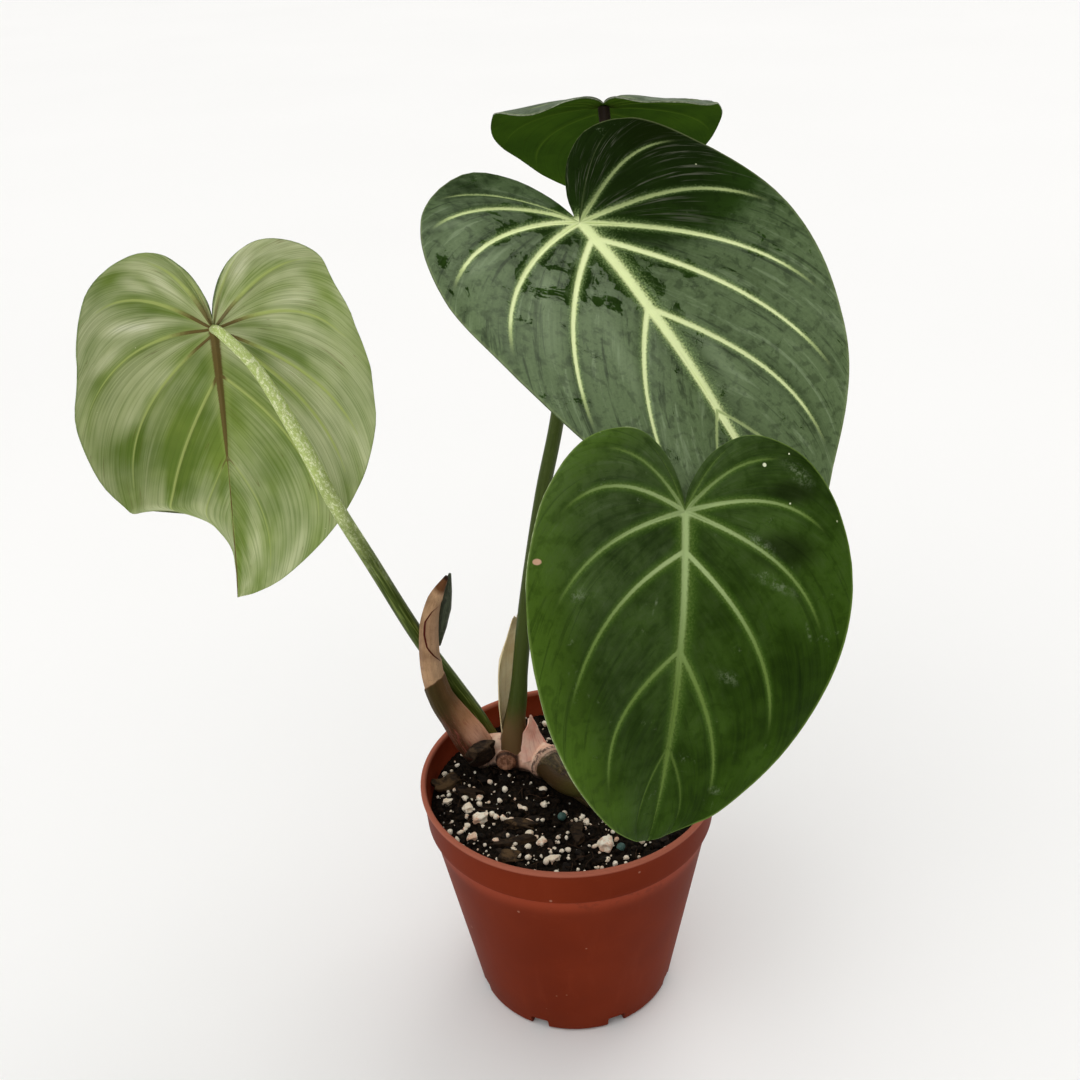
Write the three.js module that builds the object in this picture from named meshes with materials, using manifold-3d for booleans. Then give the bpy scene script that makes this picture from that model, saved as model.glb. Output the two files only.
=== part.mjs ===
// Philodendron gloriosum in a round plastic nursery pot.
// Millimetres, +Z up, origin at the middle of the pot's flat underside.
import * as THREE from 'three';
import { mergeVertices } from 'three/addons/utils/BufferGeometryUtils.js';
import Module from 'manifold-3d';

const wasm = await Module();
wasm.setup();

// ---------------------------------------------------------------- driving dimensions
const GAP = 0.3;                // clearance between neighbouring pieces

const POT_HEIGHT = 94;
const POT_RIM_R = 55;           // outside of the lip
const POT_BASE_R = 38;
const POT_WALL = 1.4;
const POT_FLOOR = 2;
const RIM_BAND = 14.5;          // height of the straight band under the lip
const RIM_STEP = 1.3;           // how far the band stands out from the tapered body
const POT_SEGMENTS = 48;
const DRAIN_SLOTS = 8;

const SOIL_Z = 84.5;            // mean level of the soil
const SOIL_ROUGH = 1.1;
const SOIL_SEGMENTS = 36;
const SOIL_RINGS = 9;
const SOIL_GRAINS = 36;         // small perlite grains fused to the soil

const RHIZOME_R = 6.6;
const KNUCKLE = 1.3;

const BLADE = 0.9;              // leaf blade thickness
const MIDRIB = 1.5;             // how far the midrib stands out below, at the stalk
const RIB = 0.75;               // how far a primary vein stands out below, at the stalk
const TROUGH = 0.25;            // sunken veins on the upper face
const QUILT = 0.8;              // puffing of the blade between the veins
const RIPPLE = 0.9;             // waving of the margin
const PETIOLE_FOOT_R = 3.6;
const PETIOLE_MID_R = 2.7;
const PETIOLE_TOP_R = 2.1;

// Half outline of the heart shape, from the tip round the lobe to the sinus:
// x as a share of half the width, y as a share of the length.
const HALF_OUTLINE = [
  [0, 1], [0.15, 0.965], [0.38, 0.875], [0.68, 0.7], [0.88, 0.51], [0.985, 0.31], [1, 0.13],
  [0.9, -0.05], [0.7, -0.18], [0.41, -0.235], [0.2, -0.19], [0.06, -0.1], [0, -0.02],
];
// Where the primary veins sit in the fan of lines, from the tip round to the sinus,
// and how strongly each stands out.
const VEIN_LINES = [0.12, 0.22, 0.31, 0.42, 0.54, 0.66, 0.8];
const VEIN_WEIGHT = [0.45, 0.9, 1, 1, 1, 0.8, 0.45];
const MIDRIB_SHARE = 0.34;      // lines below this share leave the midrib, the rest leave the stalk
const BOW_AT = [0, 0.1, 0.3, 0.5, 0.6, 0.75, 0.9, 1];
const BOW = [0.1, 0.12, 0.13, 0.2, 0.22, 0.14, 0.06, 0];
const ALONG_VEIN = [0, 0.04, 0.14, 0.3, 0.48, 0.66, 0.84, 1];

// Each leaf: the point where it meets its stalk, where its midrib heads (degrees from +X),
// how steeply it hangs, its lean about the midrib, its size, and how it is bent.
// fold: degrees each half is raised; curl, droop and lobes: curvature per metre;
// twist: degrees per metre; tipFold: extra folding of each half near the tip, degrees;
// shoulder, rear: how much fuller each half is before and behind its widest line; lobeDepth: length of the rear lobes;
// closed: how far the lobes close the sinus;
// veins: where the primary veins reach the margin, left and right half.
const LEAVES = {
  back: {
    base: [21.6, 90.3, 316], heading: 86, pitch: 26.5, lean: 0, length: 92, width: 83,
    fold: [2, 2], curl: [5, 1.5], droop: 2.5, lobes: 2.7, twist: 0, tipFold: [-3, 0],
    lobeFold: -10, phase: 0.4,
    shoulder: [0.01, 0.03], rear: [0, 0.02], lobeDepth: 0.95, closed: 0,
    veins: [[0.12, 0.2, 0.3, 0.43, 0.58, 0.68, 0.8], [0.12, 0.2, 0.3, 0.43, 0.58, 0.68, 0.8]],
  },
  crown: {
    base: [10.5, 31, 290], heading: -48.6, pitch: 32.7, lean: -4, length: 129, width: 130,
    fold: [15.7, 11.2], curl: [0.6, 3.3], droop: 3, lobes: 0, twist: 71, tipFold: [-4, -1],
    lobeFold: 0, phase: 1.7,
    shoulder: [0.05, 0.03], rear: [-0.07, 0.02], lobeDepth: 0.97, closed: 0,
    veins: [[0.12, 0.21, 0.28, 0.35, 0.48, 0.61, 0.74], [0.13, 0.23, 0.33, 0.42, 0.53, 0.61, 0.68]],
  },
  front: {
    base: [35.4, -59.8, 231.2], heading: -93.7, pitch: 57, lean: 21.9, length: 101, width: 101,
    fold: [8.7, 17.6], curl: [3.6, 3.3], droop: 6, lobes: 1.3, twist: 2, tipFold: [0.5, 7.9],
    lobeFold: 3.5, phase: 2.9,
    shoulder: [0.04, 0], rear: [0.01, 0], lobeDepth: 0.92, closed: 0.1,
    veins: [[0.1, 0.18, 0.28, 0.4, 0.54, 0.68, 0.8], [0.11, 0.21, 0.31, 0.42, 0.57, 0.68, 0.8]],
  },
  left: {
    base: [-106.8, 10.2, 267], heading: 114, pitch: 76, lean: -23.3, length: 107.5, width: 103,
    fold: [-13.4, 3.4], curl: [19.5, 6.1], droop: 1.5, lobes: 3.5, twist: -96, tipFold: [84, -10],
    lobeFold: 15.6, phase: 4.1,
    shoulder: [-0.06, 0.02], rear: [-0.05, -0.07], lobeDepth: 1.17, closed: 0.45,
    veins: [[0.12, 0.24, 0.33, 0.48, 0.64, 0.75, 0.85], [0.1, 0.15, 0.27, 0.4, 0.57, 0.7, 0.82]],
  },
};

// Stalk centre lines, from the rhizome up to just under each blade.
const PETIOLES = {
  back: [[8, -8, 88], [10, 0, 108], [18, 25, 162], [24.5, 52, 225], [24, 76, 280], [21.6, 90.3, 316]],
  crown: [[-20.5, 18.5, 91], [-19.7, 18.7, 104], [-18, 19, 114], [-16, 20, 131], [-13.3, 21.5, 151.6],
    [-10, 23, 171.6], [-5, 25.5, 198], [0.6, 28, 222], [6, 30, 255], [10.5, 31, 290]],
  front: [[-10, 10.5, 88.5], [-3, -3, 88.5], [6, -16, 98], [17, -32, 130], [27, -47, 180],
    [35.4, -59.8, 231.2]],
  left: [[-30, 27, 90], [-35.5, 26.5, 103], [-42.9, 25, 118.8], [-53.6, 22, 142], [-66.9, 15.5, 178.3],
    [-75.5, 11, 202], [-84.5, 7.5, 230.5], [-94.4, 4.8, 255.7], [-102.8, 4.2, 267], [-106.8, 10.2, 267]],
};

const RHIZOME_PATH = [[-36, 19.5, 88.5], [-29, 21.5, 89], [-20, 20, 89], [-11, 15, 88.5], [-4, 6, 88],
  [2, -3, 87.5], [9, -11, 86.5]];
const KNUCKLES_AT = [0.06, 0.3, 0.52, 0.76];

const SHOOT_PATH = [[-33, 19, 89.5], [-35.5, 18, 95], [-41.5, 18, 106.5], [-46.3, 18, 116], [-48.8, 18, 126],
  [-49.2, 18, 139], [-48, 18, 151], [-45, 18, 161], [-40.6, 18, 169]];
const SHOOT_RADII = [6.6, 6.5, 5.2, 4.4, 4.1, 3.9, 3.6, 2.8, 0.7];
const SPIKE_PATH = [[-46.4, 21.5, 138], [-44.6, 22.6, 147], [-42.4, 23, 156], [-40.8, 22.4, 163],
  [-39.8, 21.6, 168]];
const SPIKE_RADII = [1, 2.3, 2.7, 1.9, 0.5];

// Larger loose lumps: x, y, radius, stretch, turn in degrees.
const PERLITES = [[-33, -15, 3.3, 1.15, 20], [-37.6, -8.6, 2.5, 1.1, 70], [-35.4, -24.6, 2.2, 1.3, 60],
  [-45.5, -4.6, 2, 1.2, 10], [12.2, -31.9, 3.7, 1.1, 40], [-7, -37.5, 2, 2, 15], [-10.7, -28.6, 1.9, 1.3, 80],
  [3.9, -15.9, 1.8, 1.1, 0]];
const PRILLS = [[-3, -15.5, 1.8], [17.4, -33.2, 1.8]];
// Bark chips: x, y, length, width, thickness, turn in degrees, tilt in degrees.
const BARK = [[-46.2, 6.5, 11, 6, 3, 25, 12], [-37, 0, 9, 6, 2.4, -35, -8], [-18, -19, 11, 4, 2.6, -5, 6],
  [-20, -27.5, 15, 3.4, 2.2, 6, -5], [2.5, -25, 4.4, 11, 2.4, 8, 8], [-22, -36, 8, 6, 3, 30, 10]];

// ---------------------------------------------------------------- small tools
function seeded(seed) {
  let state = seed >>> 0;
  return () => {
    state = (state + 0x6d2b79f5) >>> 0;
    let t = Math.imul(state ^ (state >>> 15), 1 | state);
    t = (t + Math.imul(t ^ (t >>> 7), 61 | t)) ^ t;
    return ((t ^ (t >>> 14)) >>> 0) / 4294967296;
  };
}

function interpolate(x, xs, ys) {
  let i = 0;
  while (i < xs.length - 2 && x > xs[i + 1]) i += 1;
  const t = Math.min(1, Math.max(0, (x - xs[i]) / (xs[i + 1] - xs[i])));
  return ys[i] + t * (ys[i + 1] - ys[i]);
}

const vec = (p) => new THREE.Vector3(p[0], p[1], p[2]);

// A closed solid for cutting and joining, from any closed geometry.
function toSolid(geometry) {
  const bare = new THREE.BufferGeometry();
  bare.setAttribute('position', geometry.getAttribute('position').clone());
  if (geometry.index) bare.setIndex(geometry.index.clone());
  const merged = mergeVertices(bare, 1e-4);
  const index = [];
  for (let i = 0; i < merged.index.count; i += 3) {
    const a = merged.index.getX(i);
    const b = merged.index.getX(i + 1);
    const c = merged.index.getX(i + 2);
    if (a !== b && b !== c && c !== a) index.push(a, b, c);
  }
  return new wasm.Manifold(new wasm.Mesh({
    numProp: 3,
    vertProperties: new Float32Array(merged.getAttribute('position').array),
    triVerts: new Uint32Array(index),
  }));
}

function toGeometry(solid) {
  const mesh = solid.getMesh();
  const geometry = new THREE.BufferGeometry();
  geometry.setAttribute('position', new THREE.BufferAttribute(new Float32Array(mesh.vertProperties), 3));
  geometry.setIndex(new THREE.BufferAttribute(new Uint32Array(mesh.triVerts), 1));
  geometry.computeVertexNormals();
  return geometry;
}

// The largest connected body of a solid; loose scraps are dropped.
function largest(solid) {
  return solid.decompose().sort((a, b) => b.volume() - a.volume())[0];
}

function placed(geometry, position, turn = [0, 0, 0]) {
  const matrix = new THREE.Matrix4().compose(
    vec(position),
    new THREE.Quaternion().setFromEuler(new THREE.Euler(turn[0], turn[1], turn[2], 'ZYX')),
    new THREE.Vector3(1, 1, 1),
  );
  return geometry.clone().applyMatrix4(matrix);
}

// A tapered stem: a closed cylinder bent along a smooth curve. section(angle, t) scales the radius.
function stem(points, radii, sides, rings, grow = 0, section = () => 1) {
  const curve = new THREE.CatmullRomCurve3(points.map(vec), false, 'centripetal');
  const frames = curve.computeFrenetFrames(rings, false);
  const geometry = new THREE.CylinderGeometry(1, 1, 1, sides, rings);
  const position = geometry.getAttribute('position');
  const shares = radii.map((r, i) => i / (radii.length - 1));
  for (let i = 0; i < position.count; i += 1) {
    const t = Math.min(1, Math.max(0, position.getY(i) + 0.5));
    const ring = Math.round(t * rings);
    const share = Math.hypot(position.getX(i), position.getZ(i));
    const angle = Math.atan2(position.getZ(i), position.getX(i));
    const radius = share * (interpolate(t, shares, radii) * section(angle, t) + grow);
    const reach = grow * (t === 0 ? -1 : t === 1 ? 1 : 0);
    const p = curve.getPointAt(t)
      .addScaledVector(frames.normals[ring], radius * Math.cos(angle))
      .addScaledVector(frames.binormals[ring], -radius * Math.sin(angle))
      .addScaledVector(frames.tangents[ring], reach);
    position.setXYZ(i, p.x, p.y, p.z);
  }
  return toSolid(geometry);
}

// An uneven lump: a coarse ball with its corners moved in and out.
function lump(centre, size, seed, grow = 0, detail = 1, uneven = 0.22, turn = 0) {
  const random = seeded(seed);
  const ball = mergeVertices(new THREE.IcosahedronGeometry(1, detail)
    .deleteAttribute('normal').deleteAttribute('uv'), 1e-3);
  const position = ball.getAttribute('position');
  for (let i = 0; i < position.count; i += 1) {
    const k = 1 - uneven * random();
    position.setXYZ(
      i,
      position.getX(i) * (size[0] * k + grow),
      position.getY(i) * (size[1] * k + grow),
      position.getZ(i) * (size[2] * k + grow),
    );
  }
  return toSolid(placed(ball, centre, [0, 0, THREE.MathUtils.degToRad(turn)]));
}

// A bark chip: a box with shifted corners.
function chip(centre, size, turn, seed, grow = 0) {
  const random = seeded(seed);
  const box = mergeVertices(new THREE.BoxGeometry(1, 1, 1, 2, 1, 1)
    .deleteAttribute('normal').deleteAttribute('uv'), 1e-3);
  const position = box.getAttribute('position');
  for (let i = 0; i < position.count; i += 1) {
    const k = 1 - 0.25 * random();
    const lift = 0.12 * size[0] * (random() - 0.5) * 0.5;
    position.setXYZ(
      i,
      position.getX(i) * (size[0] * k + 2 * grow),
      position.getY(i) * (size[1] * k + 2 * grow),
      position.getZ(i) * (size[2] * k + 2 * grow) + lift * Math.abs(position.getY(i)),
    );
  }
  return toSolid(placed(box, centre, turn.map(THREE.MathUtils.degToRad)));
}

// ---------------------------------------------------------------- leaf blade
const outline = new THREE.CatmullRomCurve3(
  HALF_OUTLINE.map(([x, y]) => new THREE.Vector3(x, y, 0)),
  false,
  'catmullrom',
  0.5,
);

// How far up the midrib a line of the fan starts, as a share of the length.
function startShare(line) {
  return line < MIDRIB_SHARE ? (1 - line / MIDRIB_SHARE) ** 1.15 : 0;
}

// Flat position of a point: line of the fan, share u along it from midrib to margin.
function flatPoint(leaf, side, line, u) {
  const ends = leaf.veins[side > 0 ? 1 : 0];
  const margin = interpolate(line, [0, ...VEIN_LINES, 1], [0, ...ends, 1]);
  const m = outline.getPoint(margin);
  const half = side > 0 ? 1 : 0;
  const fuller = leaf.shoulder[half] * Math.exp(-(((margin - 0.35) / 0.12) ** 2))
    + leaf.rear[half] * Math.exp(-(((margin - 0.57) / 0.1) ** 2));
  const closing = 1 - leaf.closed * THREE.MathUtils.smoothstep(margin, 0.7, 0.95);
  const reach = m.x * closing + fuller * Math.min(1, 6 * m.x);
  const end = [reach * leaf.width / 2, m.y * leaf.length * (m.y < -0.02 ? leaf.lobeDepth : 1)];
  const start = [0, startShare(line) * leaf.length];
  const chord = [end[0] - start[0], end[1] - start[1]];
  const bow = interpolate(margin, BOW_AT, BOW);
  const bend = [start[0] + chord[0] / 2 + chord[1] * bow, start[1] + chord[1] / 2 - chord[0] * bow];
  const a = (1 - u) ** 2;
  const b = 2 * u * (1 - u);
  const c = u ** 2;
  return [side * (a * start[0] + b * bend[0] + c * end[0]), a * start[1] + b * bend[1] + c * end[1]];
}

// Bends the flat blade: each half is folded and curled, then the whole is twisted and drooped.
function bentPoint(leaf, side, x, y) {
  const half = side > 0 ? 1 : 0;
  const share = y / leaf.length;
  const ramp = THREE.MathUtils.smoothstep(share, 0.55, 0.9);
  const lobe = Math.min(1, Math.max(0, -share / 0.2));
  const raise = THREE.MathUtils.degToRad(
    leaf.fold[half] + leaf.tipFold[half] * ramp + leaf.lobeFold * lobe,
  );
  const curl = leaf.curl[half] / 1000;
  const reach = Math.abs(x);
  const out = side * (Math.sin(raise) - Math.sin(raise - curl * reach)) / curl;
  const up = (Math.cos(raise - curl * reach) - Math.cos(raise)) / curl;
  const twist = THREE.MathUtils.degToRad(leaf.twist / 1000 * y);
  const bx = out * Math.cos(twist) - up * Math.sin(twist);
  const bz = out * Math.sin(twist) + up * Math.cos(twist);
  const bend = Math.max(1e-6, (y >= 0 ? leaf.droop : leaf.lobes) / 1000);
  const slope = -bend * y;
  return new THREE.Vector3(
    bx,
    Math.sin(bend * y) / bend - bz * Math.sin(slope),
    -(1 - Math.cos(bend * y)) / bend + bz * Math.cos(slope),
  );
}

function bentNormal(leaf, side, x, y) {
  const step = 0.05;
  const sides = Math.abs(x) < 1e-6 ? [1, -1] : [side];
  const normal = new THREE.Vector3();
  for (const s of sides) {
    const at = (dx, dy) => bentPoint(leaf, s, s * (Math.abs(x) + dx), y + dy);
    const across = at(step, 0).sub(at(0, 0)).multiplyScalar(s);
    const along = at(0, step).sub(at(0, -step));
    normal.add(across.cross(along).normalize());
  }
  return normal.normalize();
}

// The frame of a leaf: x to its right, y along the midrib, z out of the upper face.
function leafFrame(leaf) {
  const h = THREE.MathUtils.degToRad(leaf.heading);
  const p = THREE.MathUtils.degToRad(leaf.pitch);
  const r = THREE.MathUtils.degToRad(leaf.lean);
  const along = new THREE.Vector3(Math.cos(h) * Math.cos(p), Math.sin(h) * Math.cos(p), -Math.sin(p));
  const level = new THREE.Vector3(Math.sin(h), -Math.cos(h), 0);
  const upright = new THREE.Vector3().crossVectors(level, along);
  const right = level.multiplyScalar(Math.cos(r)).addScaledVector(upright, Math.sin(r));
  const out = new THREE.Vector3().crossVectors(right, along);
  return new THREE.Matrix4().makeBasis(right, along, out).setPosition(vec(leaf.base));
}

// The fan lines of one half: each vein has a line on its crest and one at either foot.
function fanLines() {
  const foot = 0.014;
  const lines = [{ at: 0, rib: 0, puff: 0 }];
  VEIN_LINES.forEach((at, k) => {
    const before = k === 0 ? 0 : VEIN_LINES[k - 1];
    lines.push({ at: (before + at) / 2, rib: 0, puff: 1 });
    if (at > 0.6) lines.push({ at: (before + 3 * at) / 4, rib: 0, puff: 0.6 });
    const full = VEIN_WEIGHT[k] >= 0.8;
    if (full) lines.push({ at: at - foot, rib: 0, puff: 0.15 });
    lines.push({ at, rib: VEIN_WEIGHT[k], puff: 0 });
    if (full) lines.push({ at: at + foot, rib: 0, puff: 0.15 });
  });
  for (const at of [0.825, 0.855, 0.89, 0.93]) lines.push({ at, rib: 0, puff: 0.5 });
  lines.push({ at: 1, rib: 0, puff: 0 });
  return lines;
}

function blade(leaf) {
  const lines = fanLines();
  const frame = leafFrame(leaf);
  const upper = [];
  const lower = [];
  const seen = new Map();
  const corner = (side, j, i) => {
    const line = lines[j];
    const u = ALONG_VEIN[i];
    const [flatX, y] = flatPoint(leaf, side, line.at, u);
    const x = Math.abs(flatX) < 1e-3 ? 0 : flatX;
    const key = `${x.toFixed(3)} ${y.toFixed(3)}`;
    if (seen.has(key)) return seen.get(key);
    const normal = bentNormal(leaf, side, x, y);
    const share = y / leaf.length;
    const onMidrib = Math.abs(x) < 1e-3 && y >= 0;
    const swell = Math.min(1, Math.hypot(x, y) / 12);
    const puff = QUILT * line.puff * Math.sin(Math.PI * Math.min(1, 0.12 + 0.8 * u)) * swell;
    const wave = RIPPLE * u ** 3 * swell * Math.sin(2 * Math.PI * (4 * line.at + 0.31 * side) + leaf.phase)
      * Math.min(1, 4 * line.at, 4 * (1 - line.at));
    const rib = onMidrib ? MIDRIB * Math.max(0.12, 1 - 1.1 * share) : RIB * line.rib * (1 - u) ** 0.7;
    const sunk = onMidrib ? TROUGH : TROUGH * line.rib * (1 - u);
    const middle = bentPoint(leaf, side, x, y).addScaledVector(normal, puff + wave);
    const top = middle.clone().addScaledVector(normal, BLADE / 2 - sunk);
    const under = middle.clone().addScaledVector(normal, -BLADE / 2 - rib);
    upper.push(top.applyMatrix4(frame));
    lower.push(under.applyMatrix4(frame));
    seen.set(key, upper.length - 1);
    return upper.length - 1;
  };
  const faces = [];
  const rim = [];
  for (const side of [1, -1]) {
    for (let j = 0; j < lines.length - 1; j += 1) {
      for (let i = 0; i < ALONG_VEIN.length - 1; i += 1) {
        const a = corner(side, j, i);
        const b = corner(side, j, i + 1);
        const c = corner(side, j + 1, i + 1);
        const d = corner(side, j + 1, i);
        const turn = side > 0 ? (p, q, r) => [p, r, q] : (p, q, r) => [p, q, r];
        for (const face of [turn(a, b, c), turn(a, c, d)]) {
          if (face[0] !== face[1] && face[1] !== face[2] && face[2] !== face[0]) faces.push(face);
        }
      }
      const last = ALONG_VEIN.length - 1;
      const pair = [corner(side, j, last), corner(side, j + 1, last)];
      rim.push(side > 0 ? pair : pair.reverse());
    }
  }
  const count = upper.length;
  const positions = [...upper, ...lower].flatMap((p) => [p.x, p.y, p.z]);
  const index = [];
  for (const [p, q, r] of faces) index.push(p, q, r, p + count, r + count, q + count);
  for (const [p, q] of rim) index.push(p, q, q + count, p, q + count, p + count);
  const geometry = new THREE.BufferGeometry();
  geometry.setAttribute('position', new THREE.BufferAttribute(new Float32Array(positions), 3));
  geometry.setIndex(index);
  return toSolid(geometry);
}

// A flat slab that trims a stalk just under the blade it carries.
function trimSlab(leaf, below) {
  const slab = new THREE.BoxGeometry(30, 30, 20).translate(0, 0, 10 - below);
  return toSolid(slab.applyMatrix4(leafFrame(leaf)));
}

// ---------------------------------------------------------------- pot
function potSolid() {
  const bodyTop = POT_RIM_R - 1.6 - RIM_STEP;
  const bandFoot = POT_HEIGHT - RIM_BAND;
  const profile = [
    [0, 0], [POT_BASE_R - 1.2, 0], [POT_BASE_R, 1.2], [bodyTop, bandFoot - 0.6],
    [bodyTop + RIM_STEP, bandFoot], [POT_RIM_R - 0.8, POT_HEIGHT - 2.2], [POT_RIM_R, POT_HEIGHT - 1.6],
    [POT_RIM_R, POT_HEIGHT - 0.4], [POT_RIM_R - 0.4, POT_HEIGHT],
    [POT_RIM_R - 1.5, POT_HEIGHT], [POT_RIM_R - 2, POT_HEIGHT - 0.6],
    [bodyTop - POT_WALL + 1, bandFoot], [POT_BASE_R - POT_WALL, POT_FLOOR + 1],
    [POT_BASE_R - POT_WALL - 1, POT_FLOOR], [0, POT_FLOOR],
  ].map(([x, y]) => new THREE.Vector2(x, y));
  let solid = toSolid(new THREE.LatheGeometry(profile, POT_SEGMENTS).rotateX(Math.PI / 2));
  for (let k = 0; k < DRAIN_SLOTS; k += 1) {
    const angle = (k + 0.5) * 2 * Math.PI / DRAIN_SLOTS;
    const slot = new THREE.BoxGeometry(9, 7, 7).translate(POT_BASE_R - 0.5, 0, 1.4);
    solid = solid.subtract(toSolid(slot.rotateZ(angle)));
  }
  return solid;
}

// Inside radius of the pot at a height.
function insideRadius(z) {
  const bodyTop = POT_RIM_R - 1.6 - RIM_STEP;
  return interpolate(
    z,
    [POT_FLOOR + 1, POT_HEIGHT - RIM_BAND, POT_HEIGHT],
    [POT_BASE_R - POT_WALL, bodyTop - POT_WALL + 1, POT_RIM_R - 2],
  );
}

// ---------------------------------------------------------------- soil
function soilHeight(x, y) {
  const coarse = Math.sin(0.31 * x + 1.3) * Math.cos(0.27 * y - 0.4) + 0.6 * Math.sin(0.55 * x - 0.48 * y);
  const fine = 0.5 * Math.sin(1.1 * x + 0.7 * y) * Math.cos(1.3 * y - 0.6 * x);
  return SOIL_Z + SOIL_ROUGH * (0.5 * coarse + fine) * 0.8;
}

function soilBody() {
  const cos30 = Math.cos(Math.PI / POT_SEGMENTS);
  const wall = (z) => (insideRadius(z) - GAP) * cos30;
  const profile = [[0, POT_FLOOR + GAP], [wall(POT_FLOOR + 1) - 1.3, POT_FLOOR + GAP]];
  for (const z of [8, POT_HEIGHT - RIM_BAND, SOIL_Z]) profile.push([wall(z), z]);
  for (let k = SOIL_RINGS; k >= 0; k -= 1) profile.push([wall(SOIL_Z) * (k / (SOIL_RINGS + 0.6)), SOIL_Z]);
  const lathe = new THREE.LatheGeometry(
    profile.map(([x, y]) => new THREE.Vector2(x, y)),
    SOIL_SEGMENTS,
  ).rotateX(Math.PI / 2);
  const position = lathe.getAttribute('position');
  for (let i = 0; i < position.count; i += 1) {
    const x = position.getX(i);
    const y = position.getY(i);
    if (position.getZ(i) > SOIL_Z - 0.01) position.setZ(i, soilHeight(x, y));
  }
  return toSolid(lathe);
}

function soilSolid(cutters) {
  const random = seeded(41);
  let solid = soilBody();
  const grains = [];
  for (let k = 0; k < SOIL_GRAINS; k += 1) {
    const r = 46.5 * Math.sqrt(random());
    const angle = 2 * Math.PI * random();
    const size = 0.7 + 1.1 * random() ** 2;
    const x = r * Math.cos(angle);
    const y = r * Math.sin(angle);
    const centre = [x, y, soilHeight(x, y) + 0.15 * size];
    grains.push(lump(centre, [size * 1.2, size, size], 100 + k, 0, 0, 0.2, 360 * random()));
  }
  solid = solid.add(wasm.Manifold.union(grains));
  for (const cutter of cutters) solid = solid.subtract(cutter);
  return largest(solid);
}

// ---------------------------------------------------------------- stems
function rhizomeSolid(grow = 0) {
  const knuckles = (angle, t) => KNUCKLES_AT.reduce(
    (sum, at) => sum + KNUCKLE / RHIZOME_R * Math.exp(-(((t - at) / 0.055) ** 2)),
    1,
  );
  const radii = [RHIZOME_R * 0.8, RHIZOME_R, RHIZOME_R, RHIZOME_R, RHIZOME_R * 0.95, RHIZOME_R * 0.75];
  let solid = stem(RHIZOME_PATH, radii, 14, 20, grow, knuckles);
  const stub = stem([[-22.5, 19, 89], [-23.4, 14.5, 90], [-24, 10.8, 90.6]], [3.6, 3.1, 3.3], 12, 3, grow);
  const bud = lump([-26.5, 19.5, 93.5], [3.6, 3.4, 3.2], 7, grow, 1, 0.08);
  solid = solid.add(stub).add(bud);
  return solid;
}

function petioleSolid(name, grow = 0) {
  const groove = (angle) => 1 - 0.12 * Math.exp(-(((angle - 1.57) / 0.6) ** 2));
  const foot = name === 'front' ? PETIOLE_FOOT_R + 1 : PETIOLE_FOOT_R;
  const radii = [foot, PETIOLE_MID_R + 0.35, PETIOLE_MID_R, PETIOLE_MID_R - 0.1, PETIOLE_TOP_R + 0.2,
    PETIOLE_TOP_R];
  return stem(PETIOLES[name], radii, 10, 14, grow, groove);
}

function shootSolid(grow = 0) {
  const overlap = (angle, t) => 1 + 0.07 * Math.tanh((angle + 1.2 - 0.9 * t) * 6) * Math.min(1, 3 * t);
  return stem(SHOOT_PATH, SHOOT_RADII, 14, 16, grow, overlap);
}

// A papery scale clasping a stalk: part of a thin shell round the stalk's line.
function clasp(axis, radii, centre, spread, thick) {
  const curve = new THREE.CatmullRomCurve3(axis.map(vec), false, 'centripetal');
  const rings = 8;
  const across = 6;
  const shares = radii.map((r, i) => i / (radii.length - 1));
  const geometry = new THREE.BoxGeometry(1, 1, 1, across, rings, 1);
  const position = geometry.getAttribute('position');
  for (let i = 0; i < position.count; i += 1) {
    const t = position.getY(i) + 0.5;
    const angle = centre + position.getX(i) * 2 * interpolate(t, shares, spread);
    const radius = interpolate(t, shares, radii) + position.getZ(i) * thick;
    const p = curve.getPointAt(Math.min(1, Math.max(0, t)));
    position.setXYZ(i, p.x + radius * Math.cos(angle), p.y + radius * Math.sin(angle), p.z);
  }
  return toSolid(geometry);
}

// ---------------------------------------------------------------- assembly
const plant = new THREE.Group();

function piece(name, solid, colour, roughness) {
  const material = new THREE.MeshStandardMaterial({ color: colour, roughness, metalness: 0 });
  const mesh = new THREE.Mesh(toGeometry(solid), material);
  mesh.name = name;
  plant.add(mesh);
}

const rhizome = rhizomeSolid();
const rhizomeRoom = rhizomeSolid(GAP);
const shoot = largest(shootSolid().subtract(rhizomeRoom));
const shootRoom = shootSolid(GAP);
const petioles = {};
for (const name of Object.keys(PETIOLES)) {
  petioles[name] = largest(
    petioleSolid(name).subtract(rhizomeRoom).subtract(shootRoom).subtract(trimSlab(LEAVES[name], 2.4)),
  );
}
const crownRoom = petioleSolid('crown', GAP);
const leftRoom = petioleSolid('left', GAP);
const frontRoom = petioleSolid('front', GAP);
const backRoom = petioleSolid('back', GAP);

const spike = largest(stem(SPIKE_PATH, SPIKE_RADII, 10, 9).subtract(shootRoom));
const sheathBack = largest(
  clasp([[-20.4, 19, 94], [-18.7, 20, 115], [-16.6, 21, 132], [-14.4, 21.6, 147]], [3.9, 6.2, 7.2, 3.8],
    2.85, [0.9, 1.1, 0.9, 0.2], 0.8)
    .subtract(crownRoom).subtract(rhizomeRoom).subtract(leftRoom),
);
const sheathSide = largest(
  clasp([[-17.6, 18.4, 92], [-17.4, 18.6, 99], [-17.6, 18.9, 106], [-18.3, 19.1, 113]], [8, 5.6, 4.5, 3.9],
    -0.15, [0.75, 0.8, 0.7, 0.2], 0.9)
    .subtract(crownRoom).subtract(rhizomeRoom),
);

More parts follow.
